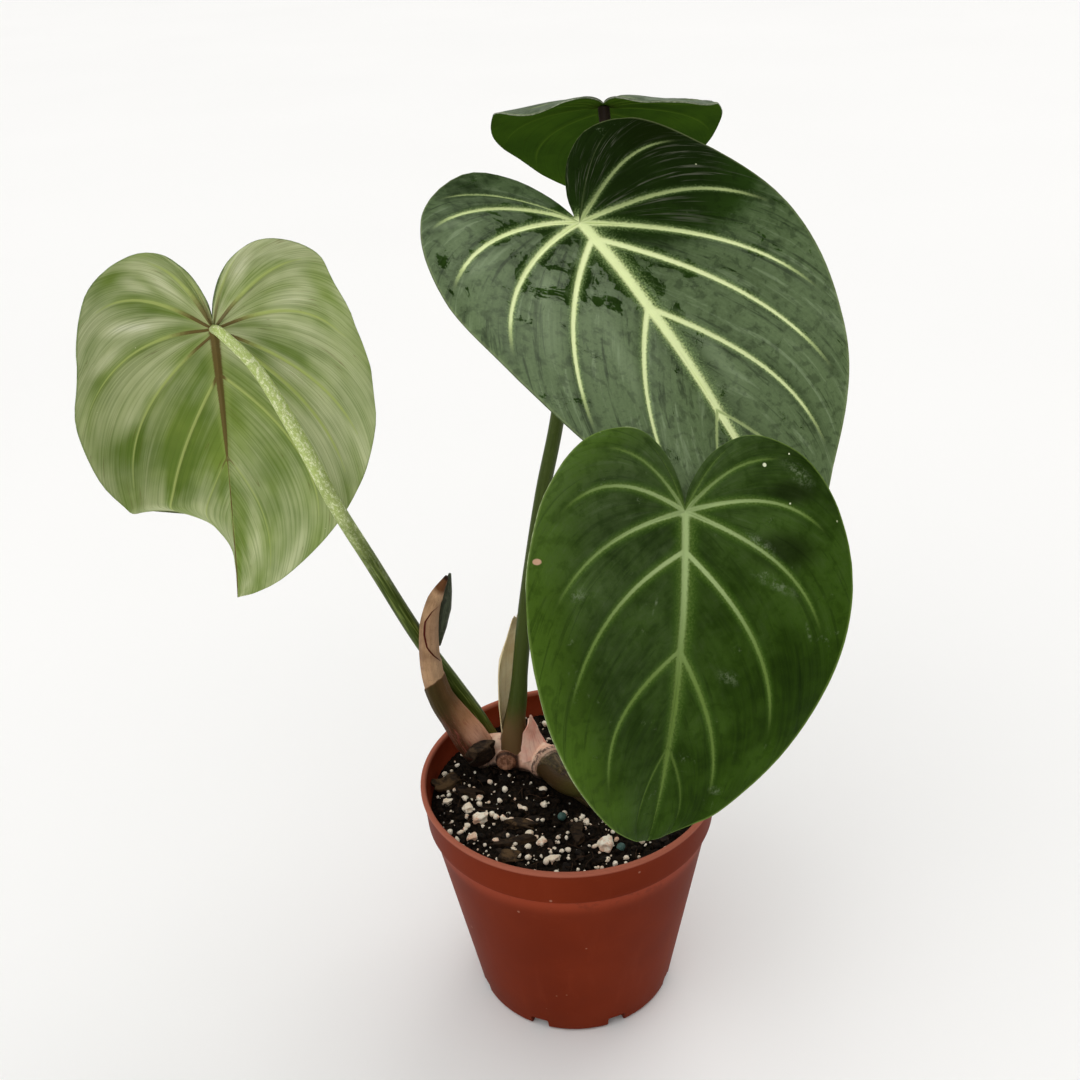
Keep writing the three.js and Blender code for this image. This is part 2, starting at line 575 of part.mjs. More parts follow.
const perlites = PERLITES.map(([x, y, r, stretch, turn], k) => {
  const centre = [x, y, soilHeight(x, y) + 0.35 * r];
  return (grow) => lump(centre, [r * stretch, r, r * 0.85], 11 + k, grow, 1, 0.24, turn);
});
const prills = PRILLS.map(([x, y, r], k) => {
  const centre = [x, y, soilHeight(x, y) + 0.4 * r];
  return (grow) => lump(centre, [r, r, r], 31 + k, grow, 1, 0.03);
});
const barkRooms = BARK.map(([x, y, length, width, thick, turn, tilt], k) => {
  const centre = [x, y, soilHeight(x, y) + 0.35 * thick];
  return (grow) => chip(centre, [length, width, thick], [tilt, tilt / 2, turn], 51 + k, grow);
});
const leaning = (grow) => chip([-33.2, 11.2, 90.5], [8.5, 5, 8], [25, 8, 12], 61, grow);

piece('pot', potSolid(), 0xa3513a, 0.5);
piece('soil', soilSolid([
  rhizomeRoom, frontRoom, backRoom, shootRoom, leaning(GAP),
  ...perlites.map((make) => make(GAP)),
  ...prills.map((make) => make(GAP)),
  ...barkRooms.map((make) => make(GAP)),
]), 0x211c19, 0.95);
piece('rhizome', rhizome, 0xb07f68, 0.6);
piece('petiole_back', petioles.back, 0x55652f, 0.5);
piece('petiole_crown', petioles.crown, 0x4c5a26, 0.5);
piece('petiole_front', petioles.front, 0x5d6332, 0.5);
piece('petiole_left', petioles.left, 0x6d8544, 0.5);
piece('leaf_back', blade(LEAVES.back), 0x2f4a1c, 0.55);
piece('leaf_crown', blade(LEAVES.crown), 0x3a5232, 0.45);
piece('leaf_front', blade(LEAVES.front), 0x34561f, 0.5);
piece('leaf_left', blade(LEAVES.left), 0x7f9a63, 0.5);
piece('shoot_sheath', shoot, 0xa88268, 0.6);
piece('shoot_spike', spike, 0x4a5a48, 0.6);
piece('sheath_back', sheathBack, 0xc4b189, 0.7);
piece('sheath_side', sheathSide, 0xc79a86, 0.65);
piece('bark_leaning', largest(leaning(0).subtract(rhizomeRoom).subtract(shootRoom)), 0x2e2824, 0.95);
barkRooms.forEach((make, k) => piece(`bark_chip_${k + 1}`, make(0), 0x4a3a2c, 0.95));
perlites.forEach((make, k) => piece(`perlite_${k + 1}`, make(0), 0xe6ddcf, 0.9));
prills.forEach((make, k) => piece(`feed_prill_${k + 1}`, make(0), 0x4d6f68, 0.5));

export default plant;
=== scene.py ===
# %% [markdown]
# # Philodendron gloriosum in its nursery pot
# A creeping aroid with four heart-shaped leaves: one facing the viewer, one above it, one seen from behind
# on a long stalk, and one tipped away at the top. Each step below says what a piece is on the real plant,
# how it could be made, and why this way was taken.

# %% The fixed frame
import math
from contextlib import contextmanager

import bpy
import numpy as np
from mathutils import Matrix, Vector


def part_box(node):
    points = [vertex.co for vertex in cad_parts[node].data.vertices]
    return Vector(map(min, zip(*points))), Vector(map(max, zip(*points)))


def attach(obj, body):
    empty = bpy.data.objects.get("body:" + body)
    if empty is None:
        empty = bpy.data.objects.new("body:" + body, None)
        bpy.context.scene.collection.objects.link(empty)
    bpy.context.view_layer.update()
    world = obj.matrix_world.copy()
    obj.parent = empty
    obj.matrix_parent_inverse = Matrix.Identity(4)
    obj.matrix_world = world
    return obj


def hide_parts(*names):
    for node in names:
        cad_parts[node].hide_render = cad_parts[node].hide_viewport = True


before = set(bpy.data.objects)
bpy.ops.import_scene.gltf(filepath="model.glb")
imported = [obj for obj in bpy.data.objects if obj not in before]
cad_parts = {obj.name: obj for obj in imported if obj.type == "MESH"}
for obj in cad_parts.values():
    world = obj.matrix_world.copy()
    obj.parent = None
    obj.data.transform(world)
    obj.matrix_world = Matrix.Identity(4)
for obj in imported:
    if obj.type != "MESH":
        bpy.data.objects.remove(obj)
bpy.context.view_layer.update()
MM = 0.001

# %% [markdown]
# ## A few habits
# The imported solids stay selected, and an operator acts on all that is selected, so every step starts from
# nothing selected. The small functions below do what every piece needs: read its points, move them, keep a
# number on each of them, join, copy and apply a modifier. At the end each piece is smoothed, dressed, tied
# to the plant's one body, and the solid it stands for is hidden.

# %% Select, name, join and copy; points and marks; settle a piece
def in_metres(millimetres):
    return [value * MM for value in millimetres]


def clear():
    bpy.ops.object.select_all(action="DESELECT")


def pick(*objects):
    """Selects these and nothing else; the first is the active one."""
    clear()
    for obj in objects:
        obj.select_set(True)
    bpy.context.view_layer.objects.active = objects[0]


def named(name):
    """What the last add operator made, under its own name."""
    bpy.context.object.name = name
    return bpy.context.object


def joined(*objects):
    """One object, which keeps the name of the first."""
    pick(*objects)
    bpy.ops.object.join()
    return bpy.context.object


def moved_copy(template, move):
    """A copy with a mesh of its own, moved by a matrix."""
    copy = template.copy()
    copy.data = template.data.copy()
    copy.data.transform(move)
    bpy.context.scene.collection.objects.link(copy)
    return copy


@contextmanager
def edit_all():
    """Edit mode with all of the active mesh selected, and back to object mode at the end."""
    bpy.ops.object.mode_set(mode="EDIT")
    bpy.ops.mesh.select_all(action="SELECT")
    yield
    bpy.ops.object.mode_set(mode="OBJECT")


def read_points(obj, what="co"):
    """The places of the vertices, or their normals, a row for each."""
    found = np.zeros(len(obj.data.vertices) * 3)
    obj.data.vertices.foreach_get(what, found)
    return found.reshape(-1, 3)


def move_points(obj, places):
    obj.data.vertices.foreach_set("co", places.ravel())
    obj.data.update()


def set_mark(obj, name, values):
    """Keeps a number for each vertex, which a finish can read."""
    obj.data.attributes.new(name, "FLOAT", "POINT").data.foreach_set("value", values)


def read_mark(obj, name):
    values = np.zeros(len(obj.data.vertices))
    obj.data.attributes[name].data.foreach_get("value", values)
    return values


def weigh(obj, name, weights):
    """A vertex group with a weight for each vertex."""
    group = obj.vertex_groups.new(name=name)
    for i, weight in enumerate(weights):
        group.add([i], float(weight), "REPLACE")


def apply_modifier(obj, kind, **settings):
    pick(obj)
    modifier = obj.modifiers.new(kind.title(), kind)
    for key, value in settings.items():
        setattr(modifier, key, value)
    bpy.ops.object.modifier_apply(modifier=modifier.name)


def settle(obj, nodes, slot, *finishes, sharp=60):
    """The last step of each piece; edges sharper than this many degrees stay sharp."""
    pick(obj)
    bpy.ops.object.transform_apply(location=True, rotation=True, scale=True)
    bpy.ops.object.shade_smooth_by_angle(angle=math.radians(sharp))
    while len(obj.data.materials) < len(finishes):
        obj.data.materials.append(None)
    for k, finish in enumerate(finishes):
        obj.data.materials[k] = finish
    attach(obj, "root")
    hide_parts(*nodes)
    size = [round(float(s) * 1000, 1) for s in obj.dimensions]
    print(f"{obj.name}: {len(obj.data.polygons)} faces, {size} mm")


# %% [markdown]
# ## Shader maths as plain sums
# A finish is a small network of nodes. Wrapping a socket in a class with + - * / lets a mask be written as
# a sum, and each sign adds the Math node that a person would add by hand. Every other node goes through one
# method.

# %% Readings and finishes
class Reading:
    """A number that changes over a surface."""

    def __init__(self, finish, socket):
        self.finish, self.socket = finish, socket

    def maths(self, operation, *values):
        return self.finish.node("ShaderNodeMath", {"operation": operation}, dict(enumerate(values)))

    def __add__(self, other):
        return self.maths("ADD", self, other)

    def __sub__(self, other):
        return self.maths("SUBTRACT", self, other)

    def __mul__(self, other):
        return self.maths("MULTIPLY", self, other)

    def __truediv__(self, other):
        return self.maths("DIVIDE", self, other)

    def __rsub__(self, other):
        return self.maths("SUBTRACT", other, self)

    __radd__, __rmul__ = __add__, __mul__

    def size(self):
        return self.maths("ABSOLUTE", self)

    def most(self, other):
        return self.maths("MAXIMUM", self, other)

    def rise(self, low, high):
        """0 below low, 1 above high, and smooth between; low above high turns it round."""
        if low > high:
            return 1 - self.rise(high, low)
        return self.finish.node(
            "ShaderNodeMapRange", {"interpolation_type": "SMOOTHSTEP"},
            {"Value": self, "From Min": low, "From Max": high})


def colour(text):
    """An ordinary screen colour such as "a0c040", as the linear colour that a shader takes."""
    parts = [int(text[i:i + 2], 16) / 255 for i in (0, 2, 4)]
    return (*[p / 12.92 if p <= 0.04045 else ((p + 0.055) / 1.055) ** 2.4 for p in parts], 1.0)


class Finish:
    """A material under construction. Constant numbers go straight onto the shader's sockets."""

    def __init__(self, name, **constants):
        self.material = bpy.data.materials.new(name)
        self.material.use_nodes = True
        self.tree = self.material.node_tree
        self.shader = self.tree.nodes["Principled BSDF"]
        for key, value in constants.items():
            self.shader.inputs[key.replace("_", " ")].default_value = value

    def node(self, kind, settings=None, inputs=None, output=0):
        made = self.tree.nodes.new(kind)
        for key, value in (settings or {}).items():
            setattr(made, key, value)
        for key, value in (inputs or {}).items():
            if isinstance(value, Reading):
                self.tree.links.new(value.socket, made.inputs[key])
            else:
                made.inputs[key].default_value = value
        return Reading(self, made.outputs[output])

    def place(self):
        """Where a point is in the row frame, in metres."""
        return self.node("ShaderNodeTexCoord", output="Object")

    def place_parts(self):
        """x, y and z of the same point, in millimetres."""
        return [self.part(self.place(), axis) / MM for axis in range(3)]

    def chart(self, name):
        return self.node("ShaderNodeUVMap", {"uv_map": name})

    def mark(self, name, output="Fac"):
        return self.node("ShaderNodeAttribute", {"attribute_name": name}, output=output)

    def part(self, vector, axis):
        return self.node("ShaderNodeSeparateXYZ", inputs={"Vector": vector}, output=axis)

    def stretch(self, vector, scale, shift=(0, 0, 0)):
        return self.node("ShaderNodeMapping", inputs={"Vector": vector, "Scale": scale, "Location": shift})

    def noise(self, vector, scale, detail=2.0, rough=0.5, warp=0.0):
        return self.node("ShaderNodeTexNoise", inputs={
            "Vector": vector, "Scale": scale, "Detail": detail, "Roughness": rough, "Distortion": warp})

    def streaks(self, vector, scale, detail=2.0, rough=0.5, warp=0.0):
        """Noise that is drawn out along the axes where scale is small."""
        return self.noise(self.stretch(vector, scale), 1.0, detail, rough, warp)

    def far(self, vector):
        """How far a point is from the middle of its chart."""
        return self.node("ShaderNodeVectorMath", {"operation": "LENGTH"}, {0: vector}, output="Value")

    def blend(self, amount, a, b):
        a, b = (colour(tone) if isinstance(tone, str) else tone for tone in (a, b))
        return self.node("ShaderNodeMix", {"data_type": "RGBA", "clamp_factor": True},
                         {0: amount, 6: a, 7: b}, output=2)

    def ground(self, amount, a, b):
        """The first two tones of a finish, mixed."""
        self.tone = self.blend(amount, a, b)

    def lay(self, amount, tone):
        """One more tone over what is there."""
        self.tone = self.blend(amount, self.tone, tone)

    def specks(self, vector, scale, radius, share):
        """Small round dots in a share of the cells, 1 inside a dot."""
        cells = ("ShaderNodeTexVoronoi", {}, {"Vector": vector, "Scale": scale})
        dot = self.node(*cells, output="Distance").rise(radius, radius * 0.6)
        lot = self.part(self.node(*cells, output="Color"), 0)
        return dot * lot.rise(1 - share, 1 - share + 0.01)

    def spot(self, chart, x, y, long, wide, turned=0.0, soft=0.5):
        """1 inside an oval, 0 outside it; soft is the share of the way in over which it rises."""
        oval = self.node("ShaderNodeMapping", {"vector_type": "TEXTURE"}, {
            "Vector": chart, "Location": (x, y, 0), "Scale": (long, wide, 1),
            "Rotation": (0, 0, math.radians(turned))})
        return self.far(oval).rise(1, 1 - soft)

    def wear(self, roughness=None, height=None, coat=None):
        """Joins the finished tone and readings to the shader; height is in millimetres."""
        for key, value in (("Base Color", self.tone), ("Roughness", roughness), ("Coat Weight", coat)):
            if value is not None:
                self.tree.links.new(value.socket, self.shader.inputs[key])
        if height is not None:
            bump = self.node("ShaderNodeBump", inputs={"Height": height, "Strength": 1.0, "Distance": MM})
            self.tree.links.new(bump.socket, self.shader.inputs["Normal"])
        return self.material


# %% [markdown]
# ## Camera, lamps and floor
# The plant is looked at from a little above, close to, so the lens and the place of the camera decide how
# far the leaves overlap. The lamps are three far, wide ones, so the floor is evenly lit: the one behind
# puts the satin light on the top leaf.

# %% Camera
CAMERA_AT = Vector((0, -386.1, 398.9)) * MM
CAMERA_DOWN, CAMERA_ROLL, CAMERA_PAN, CAMERA_TILT = (math.radians(a) for a in (38.3, 2.12, 0.86, -10.1))


def turn(axis, angle):
    return np.array(Matrix.Rotation(angle, 3, axis))


s, c = math.sin(CAMERA_DOWN), math.cos(CAMERA_DOWN)
level = np.array([[1, 0, 0], [0, s, c], [0, -c, s]])
view = turn("Z", CAMERA_ROLL) @ turn("X", CAMERA_TILT) @ turn("Y", -CAMERA_PAN) @ level
clear()
bpy.ops.object.camera_add(location=CAMERA_AT, rotation=Matrix(view.T.tolist()).to_euler())
camera = bpy.context.object
camera.data.sensor_width, camera.data.lens = 36, 43.45
camera.data.clip_start = 0.01
bpy.context.scene.camera = camera
print("camera", [round(v, 3) for v in camera.location], "lens", camera.data.lens)

# %% Lamps and floor
def wide_light(name, azimuth, height, softness, power, tint=(1, 1, 1)):
    """A far, wide lamp: azimuth 0 is behind the plant, 90 to its right; height is an angle too."""
    clear()
    az, up = math.radians(azimuth), math.radians(height)
    at = Vector((math.sin(az) * math.cos(up), math.cos(az) * math.cos(up), math.sin(up)))
    bpy.ops.object.light_add(type="SUN", location=at)
    lamp = named(name)
    lamp.rotation_euler = at.to_track_quat("Z", "Y").to_euler()
    lamp.data.angle, lamp.data.energy, lamp.data.color = math.radians(softness), power, tint


wide_light("light_above", azimuth=20, height=82, softness=110, power=1.55)
wide_light("light_back_right", azimuth=32, height=48, softness=42, power=0.62, tint=(1, 0.99, 0.97))
wide_light("light_front_left", azimuth=215, height=42, softness=70, power=0.85, tint=(0.98, 0.99, 1))

world = bpy.data.worlds.new("soft_room")
bpy.context.scene.world = world
world.use_nodes = True
air = world.node_tree.nodes["Background"].inputs
air["Color"].default_value, air["Strength"].default_value = (1, 1, 1, 1), 0.25
bpy.context.scene.view_settings.view_transform = "Standard"

clear()
bpy.ops.mesh.primitive_plane_add(size=40, location=(0, 0, -0.2 * MM))
floor = named("floor")
pale = Finish("pale_floor", Roughness=0.9)
pale.ground(pale.noise(pale.place(), 2.0), "f4f3f1", "f8f7f5")
floor.data.materials.append(pale.wear())

# %% [markdown]
# ## The heart-shaped blades
# A blade is a thin skin that follows its veins: they fan out from the stalk and from the lower midrib and
# bow towards the margin. It could be a subdivided plane cut to an outline, but then no edge would run along
# a vein. So each half is a grid whose columns are the lines of the fan and whose rows run from the midrib
# to the margin. The grid is laid flat as a half heart first, then folded, curled, twisted and drooped as
# the real blade is.

# %% Sizes of the blades, in millimetres and degrees
HALF_HEART = np.array([
    [0, 1], [0.15, 0.965], [0.38, 0.875], [0.68, 0.7], [0.88, 0.51], [0.985, 0.31], [1, 0.13],
    [0.9, -0.05], [0.7, -0.18], [0.41, -0.235], [0.2, -0.19], [0.06, -0.1], [0, -0.02]])
VEIN_LINES = [0.12, 0.22, 0.31, 0.42, 0.54, 0.66, 0.8]
VEIN_WEIGHT = [0.28, 0.9, 1, 1, 1, 0.8, 0.32]
BOW_AT, BOW = [0, 0.1, 0.3, 0.5, 0.6, 0.75, 0.9, 1], [0.12, 0.15, 0.17, 0.24, 0.26, 0.16, 0.06, 0]
MIDRIB_SHARE, BLADE, MIDRIB, RIB, QUILT, RIPPLE, HOOK = 0.34, 0.8, 1.5, 0.75, 0.8, 0.9, 0.6
SUNK_ABOVE, PROUD_BELOW, CALM = -0.22, 1.0, 12
SHOULDER, REAR = (0.35, 0.12), (0.57, 0.1)
LEAVES = {
    "back": dict(
        base=(21.6, 90.3, 316), heading=86, pitch=26.5, lean=0, length=92, width=83, fold=(2, 2),
        curl=(5, 1.5), droop=2.5, lobes=13, twist=0, tip_fold=(-3, 0), lobe_fold=-10, phase=0.4,
        shoulder=(0.01, 0.03), rear=(0, 0.02), lobe_depth=0.95, closed=0, fork=1.15, bow=(0.9, 0.9),
        hook=(0.04, 0.04), end=0.9, veins=[[0.12, 0.2, 0.3, 0.43, 0.58, 0.68, 0.8]] * 2),
    "crown": dict(
        base=(10.5, 31, 290), heading=-48.6, pitch=32.7, lean=-4, length=129, width=130, fold=(15.7, 11.2),
        curl=(0.6, 3.3), droop=3, lobes=0, twist=71, tip_fold=(-4, -1), lobe_fold=0, phase=1.7,
        shoulder=(0.05, 0.03), rear=(-0.07, 0.02), lobe_depth=0.97, closed=0, fork=1.2, bow=(0.1, 0.88),
        hook=(0.055, 0.018), end=0.91, vein_width=1.14, midrib_width=1.28,
        weights=([0.28, 0.9, 1, 1, 0.8, 0.6, 0.02], [0.28, 0.9, 1, 1, 1, 0.8, 0.4]),
        veins=[[0.164, 0.234, 0.303, 0.385, 0.526, 0.66, 0.74],
               [0.17, 0.236, 0.316, 0.413, 0.518, 0.609, 0.675]]),
    "front": dict(
        base=(35.4, -59.8, 231.2), heading=-93.7, pitch=57, lean=21.9, length=101, width=101,
        fold=(8.7, 17.6), curl=(3.6, 3.3), droop=6, lobes=1.3, twist=2, tip_fold=(0.5, 7.9), lobe_fold=3.5,
        phase=2.9, shoulder=(0.04, 0), rear=(0.01, 0), lobe_depth=0.92, closed=0.1, fork=0.91,
        bow=(0.58, 0.7), hook=(0.039, 0.048), end=0.82, vein_width=0.85, fade=0.3,
        veins=[[0.106, 0.175, 0.285, 0.414, 0.564, 0.712, 0.8],
               [0.116, 0.246, 0.352, 0.436, 0.585, 0.71, 0.8]]),
    "left": dict(
        base=(-106.8, 10.2, 267), heading=114, pitch=76.1, lean=-22.5, length=106.3, width=103,
        fold=(-12.9, 6.5), curl=(18.3, 4.6), droop=2.2, lobes=3.7, twist=-97.6, tip_fold=(87.9, -15.2),
        ramp=(0.561, 0.911), lobe_fold=13.8, phase=4.1, shoulder=(-0.057, 0.012), rear=(-0.042, -0.063),
        lobe_depth=1.15, closed=0.47, fork=1.8, bow=(0.53, 1.05), hook=(0.034, 0.018), end=0.85,
        waves=([(0.29, 0.05, -0.075), (0.53, 0.03, -0.025)], [(0.62, 0.03, -0.03)]),
        veins=[[0.147, 0.213, 0.356, 0.524, 0.658, 0.786, 0.856],
               [0.139, 0.254, 0.315, 0.378, 0.561, 0.68, 0.82]]),
}


def smooth(x, low, high):
    t = np.clip((x - low) / (high - low), 0, 1)
    return t * t * (3 - 2 * t)


def hump(x, at, width):
    """1 at a place, and less to both sides of it."""
    return np.exp(-((x - at) / width) ** 2)


def ends_eased(share, rate):
    """0 at both ends of a run and 1 in between."""
    return np.minimum(1, rate * np.minimum(share, 1 - share))


def read_at(values, share):
    """Values that stand evenly over a run, read at shares of it."""
    return np.interp(share, np.linspace(0, 1, len(values)), values)


def unit(rows):
    return rows / np.linalg.norm(rows, axis=1)[:, None]


def through(points, share, even=True):
    """Points of a smooth line through the given ones, at shares of its run."""
    p = np.asarray(points, float)
    p = np.vstack([2 * p[0] - p[1], p, 2 * p[-1] - p[-2]])
    at = np.clip(share, 0, 1) * (len(p) - 3)
    i = np.minimum(at.astype(int), len(p) - 4)
    w = (at - i)[:, None]
    a, b, c, d = (p[i + k] for k in range(4))
    if even:
        go, come = (c - a) / 2, (d - b) / 2
    else:
        e, f, g = (np.linalg.norm(q - r, axis=1)[:, None] ** 0.5 for q, r in ((b, a), (c, b), (d, c)))
        go = ((b - a) / e - (c - a) / (e + f) + (c - b) / f) * f
        come = ((c - b) / f - (d - b) / (f + g) + (d - c) / g) * f
    return b + go * w + (3 * (c - b) - 2 * go - come) * w ** 2 + (2 * (b - c) + go + come) * w ** 3


# %% From the fan to the flat half heart
def flat_blade(leaf, side, line, u):
    """Places on the flat half heart, from the share over the fan and the share u from midrib to margin."""
    half = int(side > 0)
    hook = leaf["hook"][half] * (u / leaf["end"]) ** 3
    line = line - hook * ends_eased(line, 6)
    margin = np.interp(line, [0, *VEIN_LINES, 1], [0, *leaf["veins"][half], 1])
    m = through(HALF_HEART, margin)
    bulges = [(*SHOULDER, leaf["shoulder"][half]), (*REAR, leaf["rear"][half])]
    bulges += leaf.get("waves", ([], []))[half]
    fuller = sum(amount * hump(margin, at, width) for at, width, amount in bulges)
    reach = m[:, 0] * (1 - leaf["closed"] * smooth(margin, 0.7, 0.95)) + fuller * np.minimum(1, 6 * m[:, 0])
    end = np.column_stack([reach * leaf["width"] / 2,
                           m[:, 1] * leaf["length"] * np.where(m[:, 1] < -0.02, leaf["lobe_depth"], 1)])
    up = np.where(line < MIDRIB_SHARE, np.maximum(0, 1 - line / MIDRIB_SHARE) ** leaf["fork"], 0)
    start = np.column_stack([0 * up, up * leaf["length"]])
    chord = end - start
    bow = np.interp(margin, BOW_AT, BOW) * leaf["bow"][half]
    bend = start + chord * HOOK + np.column_stack([chord[:, 1], -chord[:, 0]]) * bow[:, None]
    w = u[:, None]
    flat = (1 - w) ** 2 * start + 2 * w * (1 - w) * bend + w ** 2 * end
    flat[:, 0] = np.where(flat[:, 0] < 1e-3, 0, flat[:, 0]) * side
    return flat


# %% From the flat half to the hanging blade
def bent(leaf, side, x, y):
    """Folds, curls, twists and droops points of the flat half, in millimetres."""
    half = int(side > 0)
    share = y / leaf["length"]
    at_tip = leaf["tip_fold"][half] * smooth(share, *leaf.get("ramp", (0.55, 0.9)))
    rise = np.radians(leaf["fold"][half] + at_tip + leaf["lobe_fold"] * np.clip(-share / 0.2, 0, 1))
    curl, reach = leaf["curl"][half] / 1000, np.abs(x)
    out = side * (np.sin(rise) - np.sin(rise - curl * reach)) / curl
    lift = (np.cos(rise - curl * reach) - np.cos(rise)) / curl
    twist = np.radians(leaf["twist"] / 1000 * y)
    across, above = out * np.cos(twist) - lift * np.sin(twist), out * np.sin(twist) + lift * np.cos(twist)
    bend = np.maximum(1e-6, np.where(y >= 0, leaf["droop"], leaf["lobes"]) / 1000)
    return np.column_stack([across, np.sin(bend * y) / bend + above * np.sin(bend * y),
                            -(1 - np.cos(bend * y)) / bend + above * np.cos(bend * y)])


def facing(leaf, side, x, y, step=0.05):
    """The blade's normal at each point; on the midrib it is the mean of the two halves' normals."""
    found, away = 0, np.abs(x)
    for s in (1, -1):
        here, outward, ahead, back = (bent(leaf, s, s * (away + dx), y + dy)
                                      for dx, dy in ((0, 0), (step, 0), (0, step), (0, -step)))
        normal = unit(np.cross((outward - here) * s, ahead - back))
        found = found + normal * np.where(away < 1e-6, 1, s == side)[:, None]
    return unit(found)


def leaf_frame(leaf):
    """The blade's own directions (right, tipwards, up) and the place of its stalk, in the row frame."""
    h, p, r = (math.radians(leaf[k]) for k in ("heading", "pitch", "lean"))
    along = np.array([math.cos(h) * math.cos(p), math.sin(h) * math.cos(p), -math.sin(p)])
    level = np.array([math.sin(h), -math.cos(h), 0])
    right = level * math.cos(r) + np.cross(level, along) * math.sin(r)
    return np.array([right, along, np.cross(right, along)]), np.array(leaf["base"], float)


# %% [markdown]
# ## Grids that are thicker where it matters
# The columns crowd at each vein and the rows crowd at the midrib, so that a vein has a crest and two feet
# of its own. The two halves are joined along the midrib, their doubles merged, and Solidify makes the upper
# and the lower skin. Then the veins are sunk a little above and stand out as ribs below. The distance to
# the nearest vein, in vein widths, is kept as an attribute: the finish draws the pale veins with it,
# sharper than any mesh could.

# %% Fan lines and rows
BESIDE_VEIN = (-.018, -.011, -.006, -.003, 0, .003, .006, .011, .018)
LINES = sorted({0.0, 1.0, *(round(vein + beside, 4) for vein in VEIN_LINES for beside in BESIDE_VEIN)})
LINES += [x for x in np.arange(0.0125, 1, 0.0125) if min(abs(x - v) for v in VEIN_LINES) > 0.024]
LINES = np.array(sorted(LINES))
ROWS = np.array([0, .004, .009, .015, .023, .034, .048, .066, *np.linspace(0.09, 0.965, 37), .985, 1])
print("fan lines", len(LINES), "rows", len(ROWS))


def half_blade(name, leaf, side):
    clear()
    bpy.ops.mesh.primitive_grid_add(x_subdivisions=len(LINES) - 1, y_subdivisions=len(ROWS) - 1, size=1)
    half = named(name)
    grid = read_points(half) + 0.5
    line, u = (stops[np.rint(grid[:, k] * (len(stops) - 1)).astype(int)]
               for k, stops in enumerate((LINES, ROWS)))
    flat = flat_blade(leaf, side, line, u)
    x, y = flat.T
    swell = np.minimum(1, np.hypot(x, y) / CALM)
    veins = np.array([0, *VEIN_LINES, 1])
    k = np.clip(np.searchsorted(veins, line, side="right") - 1, 0, len(veins) - 2)
    between = (line - veins[k]) / (veins[k + 1] - veins[k])
    puff = np.sin(np.pi * between) ** 0.8 * np.where(line > 0.8, 0.6, 1)
    puff = QUILT * puff * np.sin(np.pi * np.minimum(1, 0.12 + 0.8 * u)) * swell
    wave = RIPPLE * u ** 3 * swell * np.sin(2 * np.pi * (4 * line + 0.31 * side) + leaf["phase"])
    rows, base = leaf_frame(leaf)
    local = bent(leaf, side, x, y) + facing(leaf, side, x, y) * (puff + wave * ends_eased(line, 4))[:, None]
    move_points(half, (local @ rows + base) * MM)
    mesh = half.data
    corner = np.zeros(len(mesh.loops), int)
    mesh.loops.foreach_get("vertex_index", corner)
    mesh.uv_layers[0].name = "fan"
    mesh.uv_layers.new(name="flat")
    for layer, chart in zip(mesh.uv_layers, (np.column_stack([side * line, u]), flat / 10)):
        layer.uv.foreach_set("vector", chart[corner].ravel())
    for key, value in {**vein_marks(leaf, side, flat), "rim": u}.items():
        set_mark(half, key, value)
    if side < 0:
        with edit_all():
            bpy.ops.mesh.flip_normals()
    return half


# %% How far each point is from the veins
def vein_marks(leaf, side, flat):
    """vein: 1 on a crest, 0 at a vein's edge, negative beyond; glow: how bright that vein is there;
    rib: its height in millimetres; seam: as vein, for the narrower ribs of the underside."""
    length, wide, fade = leaf["length"], leaf.get("vein_width", 1.0), leaf.get("fade", 0.15)
    reach = np.linspace(0, 1, 60)
    midrib = (0.25 + 1.75 * (1 - reach ** 2.2)) * leaf.get("midrib_width", 1.0)
    veins = [(np.column_stack([0 * reach, reach * length]), midrib, 1 - fade * 0.8 * reach,
              MIDRIB * np.maximum(0.12, 1 - 1.1 * reach),
              0.16 + 1.75 * np.clip(1 - reach / 0.5, 0, 1) ** 0.8)]
    weights = leaf.get("weights", (VEIN_WEIGHT, VEIN_WEIGHT))[int(side > 0)]
    for at, weight in zip(VEIN_LINES, weights):
        path = flat_blade(leaf, side, np.full(60, at), reach * leaf["end"])
        veins.append((path, (0.4 + 0.75 * weight) * (1 - 0.58 * reach),
                      weight ** 0.7 * (1 - fade * reach) * (1 - smooth(reach, 0.78, 1)),
                      RIB * weight * (1 - reach) ** 0.7, (0.16 + 0.36 * weight) * (1 - 0.6 * reach)))
    best, seam, glow, rib = (np.full(len(flat), value) for value in (-9.0, -9.0, 0.0, 0.0))
    for path, half_width, bright, height, narrow in veins:
        gap, share = np.full(len(flat), 1e9), np.zeros(len(flat))
        for k in range(len(path) - 1):
            a, d = path[k], path[k + 1] - path[k]
            t = np.clip(((flat - a) @ d) / max(d @ d, 1e-9), 0, 1)
            away = np.linalg.norm(flat - a - t[:, None] * d, axis=1)
            near = away < gap
            gap[near], share[near] = away[near], (reach[k] + t * (reach[k + 1] - reach[k]))[near]
        width = read_at(half_width, share)
        score = 1 - gap / (width * wide)
        won = score > best
        best[won], glow[won] = score[won], read_at(bright, share)[won]
        seam = np.maximum(seam, 1 - gap / read_at(narrow, share))
        rib = np.maximum(rib, read_at(height, share) * hump(gap, 0, 0.5 + 0.25 * width))
    rib = rib * smooth(np.hypot(flat[:, 0], flat[:, 1]), 0.3, 3.5)
    return {"vein": np.clip(best, -6, 1), "glow": glow, "rib": rib, "seam": np.clip(seam, -6, 1)}


